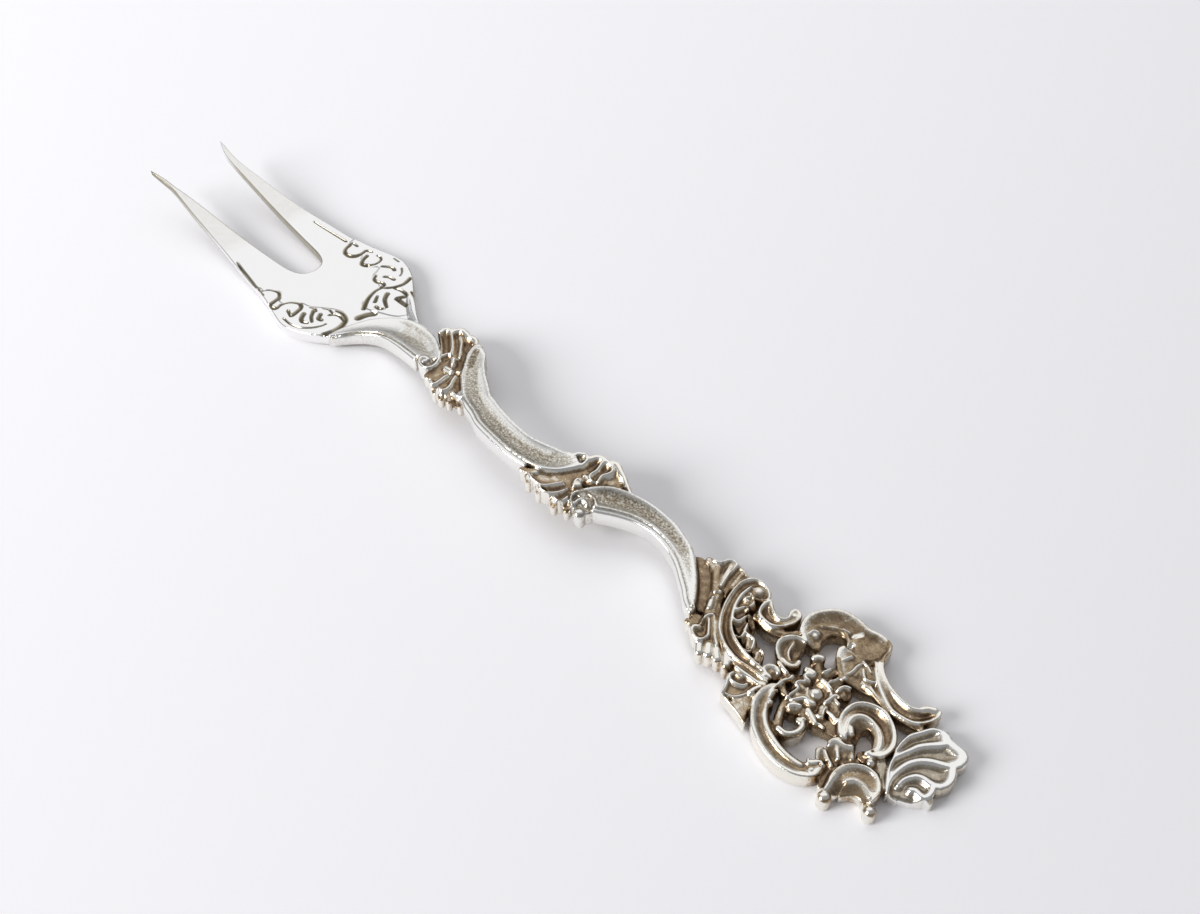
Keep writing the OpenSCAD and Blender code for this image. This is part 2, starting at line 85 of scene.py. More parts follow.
THICK = np.interp(X, *zip(*STOCK))
BACK = back_line(X)
FACE = BACK + THICK
tops = {node: np.full(X.shape, LOW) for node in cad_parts}
outline = np.full(X.shape, 9.0)  # distance to the outline of the fork, negative in the metal
cut_tarnish_and_shade = np.zeros(X.shape)  # tarnishing and painted shade in the cut lines of the head
extra_tarnish_and_light = np.zeros(X.shape)  # tarnishing and painted shade beyond what the relief gives, below 0 for painted highlights and metal rubbed bright


def path(text):
    """'x,y x,y' as rows."""
    return np.array([[float(v) for v in p.split(",")] for p in text.split()])


def smooth(rows, spacing=0.2):
    """The curve through the rows, in short steps."""
    if len(rows) < 2:
        return rows
    out = []
    for i in range(len(rows) - 1):
        a, b, c, d = rows[max(i - 1, 0)], rows[i], rows[i + 1], rows[min(i + 2, len(rows) - 1)]
        n = max(int(np.hypot(*(c - b)[:2]) / spacing), 1)
        t = (np.arange(n) / n)[:, None]
        out.append((2 * b + (c - a) * t + (2 * a - 5 * b + 4 * c - d) * t**2 + (3 * b - a - 3 * c + d) * t**3) / 2)
    return np.concatenate(out + [rows[-1:]])


def beside(text, shift):
    """The curve through the points, moved sideways to its left."""
    p = smooth(path(text), 0.5)
    d = np.gradient(p, axis=0)
    d /= np.maximum(np.hypot(d[:, 0], d[:, 1]), 1e-9)[:, None]
    return p + shift * np.c_[-d[:, 1], d[:, 0]]


def window(p, reach):
    """Part of the grid round some points."""
    i0, i1 = np.searchsorted(GX, [p[:, 0].min() - reach, p[:, 0].max() + reach])
    j0, j1 = np.searchsorted(GY, [p[:, 1].min() - reach, p[:, 1].max() + reach])
    return np.s_[i0:i1, j0:j1]


def away(p, part):
    """Distance to a line, and how far along it the nearest place is, from 0 to 1."""
    x, y = X[part], Y[part]
    best, along = np.full(x.shape, 1e9), np.zeros(x.shape)
    steps = max(len(p) - 1, 1)
    for k, (a, b) in enumerate(zip(p, p[1:] if len(p) > 1 else p)):
        d = b - a
        t = np.clip(((x - a[0]) * d[0] + (y - a[1]) * d[1]) / max(d[0] ** 2 + d[1] ** 2, 1e-9), 0, 1)
        r = np.hypot(x - a[0] - t * d[0], y - a[1] - t * d[1])
        closer = r < best
        best = np.where(closer, r, best)
        along = np.where(closer, (k + t) / steps, along)
    return best, along


def fence(corners, part):
    """Distance to a closed outline, negative inside."""
    x, y = X[part], Y[part]
    best, inside = np.full(x.shape, 1e9), np.zeros(x.shape, bool)
    for a, b in zip(corners, np.roll(corners, -1, axis=0)):
        d = b - a
        t = np.clip(((x - a[0]) * d[0] + (y - a[1]) * d[1]) / max(d @ d, 1e-12), 0, 1)
        best = np.minimum(best, np.hypot(x - a[0] - t * d[0], y - a[1] - t * d[1]))
        if a[1] != b[1]:
            inside ^= ((a[1] > y) != (b[1] > y)) & (x < a[0] + (y - a[1]) * d[0] / d[1])
    return np.where(inside, -best, best)


def lay(node, part, edge, z):
    """Lays one stroke on a node: edge is the distance to its outline, z its height against the face."""
    z = FACE[part] + z - SKIRT_SLOPE * np.clip(edge, 0, None)
    tops[node][part] = np.where(edge < SKIRT, np.maximum(tops[node][part], z), tops[node][part])
    outline[part] = np.minimum(outline[part], edge)


def stroke(points, w, reach=0.0):
    """Part of the grid round a line, the distance to it and its half width; w is one width or those at its ends."""
    p = smooth(path(points)) if isinstance(points, str) else points
    ends = np.atleast_1d(np.asarray(w, float))
    part = window(p, ends.max() + reach + 0.5)
    r, along = away(p, part)
    return part, r, ends[0] + (ends[-1] - ends[0]) * along


def web(node, points, w=0.5, lift=-0.6):
    """A low plain ground that carries other strokes."""
    part, r, w = stroke(points, w)
    lay(node, part, r - w, np.full(r.shape, lift))


def line(node, points, w=0.13, lift=0.0, reach=0.0, depth=0.5):
    """A narrow ridge with a flat bright top, and hollow flanks where the node has metal within reach of it."""
    part, r, w = stroke(points, w, reach)
    u = np.clip((r / w - FLAT_TOP) / (1 - FLAT_TOP), 0, 1)
    lay(node, part, r - w, lift - EDGE_DROP * w * (1 - np.sqrt(1 - u**2)))
    if reach:
        v = (r - w) / reach
        flank = FACE[part] + lift - SHOULDER - depth * (1 - (1 - np.clip(v, 0, 1)) ** 2)
        there = (v < 1) & (tops[node][part] > LOW / 2)
        tops[node][part] = np.where(there, np.maximum(tops[node][part], flank), tops[node][part])


def crest(node, points, w=0.13, reach=0.5, lift=0.0, depth=0.5):
    """A line with flanks."""
    line(node, points, w, lift, reach, depth)


def roll(node, points, w=0.5, lift=0.0, fall=None):
    """A rounded ridge; a single point is a bead."""
    part, r, w = stroke(points, w)
    u = np.clip(r / w, 0, 1)
    lay(node, part, r - w, lift - (np.minimum(w, MAX_FALL) if fall is None else fall) * (1 - np.sqrt(1 - u**2)))


def sag(loose, rim):
    """How a sheet hangs that is fixed at its rim and loose elsewhere: 0 at the rim, 1 at its deepest."""
    def around(a):
        return sum(np.roll(a, s, k) for s in (1, -1) for k in (0, 1))

    shape = np.zeros(loose.shape)
    if not rim.any():
        return shape
    count = np.maximum(around((loose | rim).astype(float)), 1)
    chequer = np.indices(loose.shape).sum(0) % 2
    turns = [loose & (chequer == k) for k in (0, 1)]
    for _ in range(SAG_ROUNDS):
        for mine in turns:
            shape = np.where(mine, shape + SAG_STRIDE * ((around(shape) + 1) / count - shape), shape)
    return np.clip(shape / max(shape.max(), 1e-9), 0, 1)


def bed(node, outline_text, depth=0.7, w=0.13, lift=0.0):
    """A hollow with a closed outline in segments parted by /. Those that start with + carry a flat-topped rim."""
    edges, rims = [], []
    for text in outline_text.split("/"):
        edges.append(smooth(path(text.strip("+ "))))
        if text.strip().startswith("+"):
            rims.append(edges[-1])
    corners = np.concatenate(edges)
    part = window(corners, w + 0.5)
    inside = fence(corners, part)
    r = np.full(inside.shape, 9.0)
    for p in rims:
        r = np.minimum(r, away(p, part)[0])
    rim = r <= w
    lay(node, part, np.minimum(inside, r - w), lift - depth * sag((inside < SKIRT) & ~rim, rim))


def groove(node, points, w):
    """A line cut into a node, dark at its bottom with tarnishing and painted shade."""
    part, r, w = stroke(points, [CUT_FLARE * v for v in w])
    cut = np.clip(1 - (r / w) ** 2, 0, 1)
    tops[node][part] -= CUT_DEPTH * cut**2
    cut_tarnish_and_shade[part] = np.maximum(cut_tarnish_and_shade[part], CUT_TARNISH_AND_SHADE * cut)


def tarnish(points, w, amount):
    """Darkens a strip of the surface with a soft edge, as tarnishing and painted shade, or brightens it as a painted
    highlight when the amount is below 0.
    """
    part, r, w = stroke(points, w)
    extra_tarnish_and_light[part] += amount * swing((FADE_END - r / w) / FADE)


def moved(text, place):
    """The points of a text, measured from a place."""
    return re.sub(r"(-?[\d.]+),(-?[\d.]+)", lambda m: f"{float(m[1]) + place[0]},{float(m[2]) + place[1]}", text)


def carve(node, place, table):
    """Lays a table of strokes on a node. Each has a kind, values in the order of its function, a colon, and points
    that are measured from a place."""
    kinds = {"web": web, "line": line, "crest": crest, "roll": roll, "bed": bed}
    for kind, values, points in re.findall(r"([a-z]+)([^:]*):([^a-z]*)", table):
        values = [[float(v) for v in word.split(",")] for word in values.split()]
        values = [v if len(v) > 1 else v[0] for v in values]
        if kind == "tarnish":
            tarnish(moved(points, place), *values)
        else:
            kinds[kind](node, moved(points, place), *values)


# Head: the outer and inner edges of its two tines, from their tips
UPPER_OUT = path("-0.95,6.2 0.93,6.1 3.46,5.98 6.21,6.2 9.89,6.66 14.88,7.2 19.87,7.83 24.86,8.61 29.85,9.25 "
                 "32.84,9.85 34.83,10.38 37.82,11.23 39.82,11.46 41.82,11.04 43.84,10.18 45.86,8.86 47.88,7.44 "
                 "49.91,6.13 51.93,4.86 53.94,3.94 56.95,3.59")
UPPER_IN = path("-0.88,6.16 0.5,5.64 1.79,5.2 3.61,4.9 5.5,4.78 9.93,4.57 14.93,4.25 19.94,3.93 24.94,3.61 "
                "27.95,3.41 29.95,3.15 31.36,2.62 32.18,1.73 32.5,0.54")
LOWER_IN = path("-1.18,-6.46 0.3,-5.99 1.87,-5.55 3.67,-5.28 6.46,-4.75 10.07,-4.23 15.06,-3.75 20.06,-3.27 "
                "25.05,-2.79 28.05,-2.49 30.04,-2.15 31.43,-1.58 32.22,-0.67 32.5,0.54")
LOWER_OUT = path("-1.25,-6.5 1.4,-6.16 3.81,-5.9 6.02,-5.98 10.11,-6.33 15.11,-6.7 20.12,-7.17 25.13,-7.78 "
                 "30.14,-8.25 33.15,-8.75 35.16,-9.22 38.17,-9.97 40.17,-10.14 42.17,-9.65 44.15,-8.72 46.13,-7.34 "
                 "48.1,-5.85")
TANG_END = np.array([(57, 0.9), (50, -0.7)])
EDGE_STEP, MARGIN = 0.4, 0.6
PLATE_SINK = 0.05  # of the head below the face of the carving
sides = [smooth(rows, EDGE_STEP) for rows in (UPPER_IN, UPPER_OUT, LOWER_OUT, LOWER_IN)]
head = np.concatenate([sides[0][::-1], sides[1], TANG_END, sides[2][::-1], sides[3]])
part = window(head, MARGIN)
edge = fence(head, part)
plate = BACK + np.minimum(THICK, PLATE_STOCK) - PLATE_SINK
tops["tine_head"][part] = np.where(edge < SKIRT, plate[part], LOW)
outline[part] = np.minimum(outline[part], edge)

# Raised borders of the head, with soft edges
BORDER_RISE, BORDER_EDGE = 0.22, 0.3
BORDERS = ("30.6,9.3 30.9,7.9 31.6,6.7 32.6,6 33.9,6.5 34.6,7.8 35.3,6.9 36.2,6.2 37.3,6.6 38.6,7.9 39.6,6.2 "
           "40.4,5.4 42.3,5.3 42.6,3.9 43.2,2.3 44.5,0.6 47.5,1.4 50.5,3 50.5,6 45,10.5 40,13 34,12",
           "29.8,-9.6 30.3,-8 31.5,-7.7 32.7,-6.4 33.8,-6.2 34.7,-7.2 35.6,-7.4 36.3,-6.2 37.6,-5.3 39.2,-4.8 "
           "41,-3.4 42.7,-2.4 44.2,-2.2 45.8,-3 46.6,-4.6 46.5,-7 44,-10 40,-13 34,-13")
for text in BORDERS:
    corners = smooth(path(text))
    part = window(corners, MARGIN)
    tops["tine_head"][part] += BORDER_RISE * np.clip(0.5 - fence(corners, part) / BORDER_EDGE, 0, 1)

# Carved border of the head: cut lines, each with its half widths at the two ends
CUTS = """0.12,0.2: 23,7.2 25,7.45 27,7.72 30,8.1
0.12,0.14: 23.5,-7.1 27,-7.6 29,-7.9
0.2,0.2: 30.98,8.05 31.37,8.49 32.32,8.53
0.36,0.2: 31.31,7.81 31.57,6.89 32.28,6.27 33.16,6.25 33.89,6.75 34.22,7.75 34.13,8.86 34.91,9.32
0.3,0.36: 35.21,8.22 35.5,7.26 36.12,6.55 36.73,6.62 37.05,6.89
0.2,0.16: 37.12,6.85 37.58,7.74 37.61,8.55 37.35,9.26 36.69,9.55 36.19,9.4
0.2,0.28: 38.76,8.31 39.4,8.86 40.2,9.3 40.81,9.14
0.2,0.28: 41.01,7.03 41.71,7.54 42.61,7.68
0.25,0.3: 39.92,6.3 40.4,5.64 41.29,5.59 42.04,5.96 42.65,5.81 42.79,5.19
0.34,0.2: 44.12,9.53 44.37,8.82 44.55,7.85 44.28,6.83 43.78,5.98 43.19,5.4
0.3,0.42: 42.84,5.05 42.8,4.07 43.3,2.69 44.03,1.55 44.87,0.54
0.22,0.3: 44.12,3.49 44.97,2.46
0.4,0.2: 44.75,4.85 45.58,3.78 47.3,2.84
0.3,0.2: 46.06,1.86 46.85,1.87 47.27,2.37
0.22,0.4: 44.49,6.47 45.64,6.82 46.78,6.77 47.26,6.41 46.88,5.68 46.74,5.18
0.4,0.3: 46.74,5.18 47.82,5.07 49.35,5.02
0.2,0.25: 46.94,7.67 48.4,7.16 49.18,6.77
0.6,0.5: 46.12,-1.35 46.41,-0.18 47.02,0.76
0.12,0.12: 41.14,10.25 41.93,9.69 42.5,8.9
0.1,0.1: 38.46,10.83 39.64,10.87
0.12,0.2: 23.95,-7.25 26.06,-7.67 28.28,-7.98 30.19,-8.09
0.25,0.34: 30.62,-8.18 31.63,-8.56 32.27,-8.61
0.2,0.36: 31.48,-7.98 31.81,-7.24 32.68,-6.66 33.53,-6.46 34.36,-7.03 34.65,-8 34.84,-8.89 35.26,-9.17 36.01,-8.91
0.2,0.36: 36.22,-8.67 35.93,-7.71 36.17,-6.71 36.83,-6 37.7,-5.63 38.49,-6.07 38.83,-6.99 39.01,-7.88
0.25,0.2: 37.74,-7.78 39.06,-8.2
0.4,0.25: 39.92,-6.58 40.54,-7.39 41.28,-7.71 41.94,-7.39
0.32,0.2: 40.3,-5.1 41.13,-6.06 42.24,-6.74
0.14,0.2: 39.33,-5.01 39.99,-4.69 40.63,-4.94
0.36,0.3: 41.72,-4.93 42.29,-5.61 42.89,-5.55
0.2,0.3: 42.74,-4.09 43.21,-3.44 44.11,-3.11 45.1,-3.22
0.15,0.15: 40.89,-3.76 41.68,-3.34 42.77,-3.52
0.25,0.6: 42.69,-2.69 44.03,-2.46 45.33,-3 46.05,-4.1 46.32,-5.25 46.25,-6.55
0.6,0.4: 46.25,-6.55 45.78,-7.18
0.14,0.14: 38.75,-9.23 40.47,-9.25 41.99,-8.77 43.23,-7.71 43.95,-6.48 44.1,-5.62
0.12,0.12: 34.92,-10.09 36.5,-10 37.46,-9.88 38.97,-10.8
0.14,0.16: 39.56,-10.54 41.71,-10.47 43.33,-10.24"""
for row in CUTS.split("\n"):
    widths, points = row.split(": ")
    groove("tine_head", points, [float(v) for v in widths.split(",")])
# Upper edge of the tang, which climbs beside the neck band
line("tine_head", "45.5,8 47.5,6.6 49.5,5.2 51.5,4 53.5,3.2 55.5,2.95 57,2.85", w=0.3, lift=-0.2)


def shelf(node, points, w=0.3):
    """A low roll along the inside of a rim, made bright with a painted highlight."""
    roll(node, points, w, lift=-0.25)
    tarnish(points, w=0.4, amount=-0.5)


# Neck band
UPPER_RIM = ("46.6,-6.9 46.7,-5.04 47.32,-2.87 48.31,-0.74 49.61,0.61 50.97,1.63 52.62,2.42 54.86,2.74 57.09,2.74 "
             "58.93,2.46 60.72,1.77 62.4,0.77 63.65,-0.33")
LOWER_RIM = ("60.9,-1.9 58.9,-1.75 56.82,-1.62 55.36,-1.61 53.61,-1.72 52.09,-2.02 50.49,-2.85 49.06,-4.09 "
             "47.89,-5.51 46.88,-6.9")
bed("neck_band", "+" + UPPER_RIM + " / +" + LOWER_RIM, depth=0.4)
shelf("neck_band", beside(LOWER_RIM, 0.4), [0.3, 0.08])
carve("neck_band", (61, -2), """
tarnish 1.2 -0.2: -12.5,-0.5 -9.5,2 -8,2.4
tarnish 1.2,0.4 -0.2: -12.5,-0.5 -9.5,2 -6.5,2.9 -2.5,3.1 0,2.3
line 0.22: 1.4,2.77 2.65,1.67 3.25,0.5 3.1,-0.5 2.2,-0.79 1.1,-0.45 0.5,0.2 0.9,0.75 1.6,0.7
roll 0.45 0.05: 1.45,0.1
web 0.8 -0.5: 0,0.8 1.6,0.5 2.4,0.7
""")

# Middle band
LEFT_RIM = ("65.6,5.2 65.4,4.6 65.6,3.7 66.2,2.7 67.1,1.75 68.1,0.6 69.1,-0.45 70.6,-1.7 72.2,-2.9 74,-3.6 76,-4.2 "
            "78,-4.9 81,-5.3 84,-5.5 86,-5.4 88,-5.1 89.5,-4.6 90.5,-3.9 91.3,-3 92,-1.7 92.4,-0.5")
RIGHT_RIM = ("91.2,-0.2 90.2,-0.2 89.5,-0.7 88,-1.2 86,-1.8 84,-2.1 81,-1.9 78,-1.4 76.5,-1 75,-0.6 74,0 72.5,0.9 "
             "71,1.8 69.3,3.1 67.8,4.5 66.3,5.1")
bed("middle_band", "+" + LEFT_RIM + " / +" + RIGHT_RIM + " / 65.6,5.4", depth=0.55)
shelf("middle_band", beside("71.5,-2.45 74,-3.6 76,-4.2 78,-4.9 81,-5.3 84,-5.5 86,-5.4 87.5,-5.2", -0.4))
# Painted shade along the inside of the left rim, and a painted highlight along the floor
tarnish(beside(LEFT_RIM, 0.4), w=0.3, amount=0.2)
tarnish("70,2 73,-0.4 76,-1.8 80,-2.5 84,-2.8 88,-2", w=0.5, amount=-0.25)

# Lower band
TOP_RIM = ("95.3,-4.1 95.8,-2.6 96.7,-1.2 97.8,-0.1 99.2,0.6 101,1.2 103,1.6 105,1.7 107,1.6 109,1.1 110.5,0.6 "
           "112,-0.4 113.5,-1.7 114.8,-3.1 116,-4.6 116.6,-5.2")
BOTTOM_RIM = ("116.2,-5.2 115.2,-4.7 114.2,-3.9 112.8,-3 111,-1.9 109,-1.1 107,-0.7 105,-0.7 103,-1.2 101.5,-1.9 "
              "100,-2.8 98.9,-3.6 98.4,-3.9")
bed("lower_band", "+" + TOP_RIM + " / +" + BOTTOM_RIM, depth=0.55)
shelf("lower_band", beside(BOTTOM_RIM, 0.4))
tarnish("97.5,-1.5 100,-0.5 103,0.3 107,0.5 110,-0.3", w=0.8, amount=0.14)
web("lower_band", "96,-4.2 97.4,-4.6", w=0.8, lift=-0.5)

# The carving, a table per node. Values: web, line and roll have a half width and a lift, a crest its half width,
# reach, lift and depth, a bed its depth, half width of rim and lift, and a strip of tarnishing and painted light
# its half width and amount: above 0 it darkens with tarnishing and painted shade, below 0 it paints a highlight.

# Collar: fan of lobes, crescent, hood, inner leaf and fringe
carve("collar_shell", (115, -7), """
web 0.6 -1: -3.18,7.4 -1.59,6.32 -0.25,4.74 0.98,3.09
web 0.55 -0.9: -1.05,7.08 0.44,5.43 1.49,4.05
web 0.55 -0.8: -2.94,7.56 -1.54,6.87 -0.15,5.35 0.95,3.77 1.72,2.78
roll 0.5,0.6 -0.3 0.4: -2.11,8.26 -1.44,8.13 -0.64,7.71
web 0.8: 1.89,5.35 3.04,3.39 4.21,1.97
web 0.6: 2.5,1.36 3.08,0.21 4.12,0.04 5.4,0.17
bed 0.8 0.17: +3.23,9.95 2.96,9.57 2.67,8.64 2.78,7.37 3.1,6.08 3.52,4.92 4.03,3.88 4.74,2.85 5.43,2.05 6.27,1.43
7.23,0.96 8.17,0.7 9.12,0.56 10.11,0.59 11.29,0.77 12.52,0.89 13.73,0.84 / +13.63,1.59 12.7,1.71 11.65,1.76 10.78,1.79
9.98,1.83 9.06,1.94 8.11,2.19 7.11,2.57 6.32,3.07 5.64,3.78 5.06,4.61 4.49,5.59 4.13,6.53 3.9,7.49 3.86,8.4 3.92,9
crest 0.15: 2.96,9.57 3.39,10.17 4.16,10.48 4.96,10.41 5.71,10.07 6.3,9.57 6.33,9.09
web 0.85 -0.5: 3.48,9.74 4.44,9.66 5.49,9.56
roll 0.95 -0.1 0.7: 4.82,9.35
crest 0.12: 4.49,8.29 5.28,8.19 5.93,8.53 6.33,9.09
web 0.75 -0.55: 4,8.12 4.43,7.08 4.89,5.73 5.66,4.52
bed 0.65 0.16 -0.2: +3.9,0.68 3.15,0.27 3.26,-0.35 3.97,-0.79 4.7,-0.79 4.99,-0.32 / 4.63,0.43
roll 0.4 -0.2: 1.46,1.34
roll 0.45 -0.6: 2.02,0.39
web 0.5,0.8: -1.14,8.59 0.01,7.24 1.2,5.98 2.08,4.63 2.9,3.48
web 0.6,0.5: -0.34,9.66 0.66,8.02 1.51,6.35
bed 0.7 0.13 -0.5: 1.77,6.54 1.03,8.09 0.54,10.26 1.47,10.32 2.18,10.17 2.75,9.86 2.51,8.81 2.35,7.83 2.47,6.76
2.75,5.78
web 0.8: 3.26,2.73 4.37,1.48 5.65,0.68
web 0.5 -0.5: 2.86,4.26 4.12,2.93 5.14,1.81 6.31,0.89
roll 0.68,0.55 -0.16 0.5: -0.9,8.39 0.05,7.26 1.39,5.7
tarnish 0.45 0.28: -0.49,7.84 0.35,6.88 1.29,5.82
roll 0.6,0.85 -0.32 0.45: 1.89,5.38 2.36,4.29 2.93,3.17
crest 0.16 0.5 0.05: -1.55,8.52 -1.12,8.57 -0.66,9.07 -0.44,9.8 0.13,10.15 0.76,10.06
roll 0.42,0.28 -0.14: 0.19,9.76 0.5,8.74 0.85,7.64 1.31,6.66
crest 0.15 0.3: 0.73,9.93 0.9,8.57 1.13,7.56 1.4,6.63
roll 0.45,0.3 -0.28: 1.85,9.77 2.02,8.85 2.23,7.55
crest 0.12 0.5 -0.15: 0.8,10.15 1.68,10.1 2.37,9.93 2.89,9.67
roll 0.26 -0.1: 1.51,5.42
roll 0.3 -0.1: 1.9,5.84
roll 0.22 -0.1: 1.89,4.65
roll 0.36,0.42 -0.1: 2.1,4.13 2.53,3.37
crest 0.13 0.45 -0.1: 3.52,0.86 3.2,1.64 3.18,2.4 3.5,2.92
line 0.18 -0.3: 3.13,0.26 3.44,0.49 3.52,0.96
crest 0.12 0.45 -0.1: 3.64,2.15 4.54,1.13 5.08,0.45 5.06,0.03
roll 0.28 -0.2: 3.66,2.94 4.66,2.07 5.56,1.06 6.59,0.33
roll 0.55 -0.42: 5.01,-0.85 5.76,-1.67
roll 0.57 -0.38: 5.9,-0.24 6.64,-1.14
roll 0.55 -0.32: 6.95,-0.06 7.78,-0.89
roll 0.5,0.62 -0.25: 8.05,0.45 9.05,-0.72
web 0.6 -0.8: 5.35,0.28 6.52,0.51 8.08,0.51
web 0.75 -0.65: 4.04,6.51 5.11,5.64 6.23,4.61 7.88,3.76 9.17,3.2
web 0.5 -0.65: 4.47,7.48 5.71,7.27
web 0.35: 6.64,5.96 7.51,5.33
crest 0.12 0.45: 4.53,7.33 4.66,7.77 5.13,7.98 5.54,7.75 5.67,7.24 5.51,6.65 5.14,6.11 4.94,5.41
roll 0.2 -0.1: 4.76,7.19 5.09,7.34
crest 0.13 0.45: 5.23,4.31 5.87,4.28 6.15,4.45 6.24,5.1 6.34,5.93
roll 0.28 -0.05: 5.75,6.36
crest 0.13 0.45: 7.05,5.07 7.31,4.41 7.59,3.82 7.76,3.26 7.66,2.81 7.28,2.71
crest 0.13 0.45: 7.71,3.88 8.34,3.93 8.96,3.93 9.37,3.41 9.68,2.7 9.68,2.25 9.19,2.09
roll 0.3 -0.2: 8.46,3.6 9.08,2.74
crest 0.13 0.45: 10.41,3.44 10.95,3.33 11.4,2.57 11.58,1.82 11.29,1.57 10.67,1.6
roll 0.32 -0.2: 10.38,2.94 10.86,2.27
web: 10.01,3.39 10.82,2.31
web 0.52 -0.65: 5.52,-1.36 6.42,-0.89 7.53,-0.61 8.73,-0.34
web 0.3 -0.3: 9.04,0.16 10.2,0.2 11.44,0.31 12.58,0.54 13.33,0.72
tarnish 0.9 -0.4: 5.43,-1.29 6.34,-0.79 7.41,-0.46 8.51,-0.08
""")

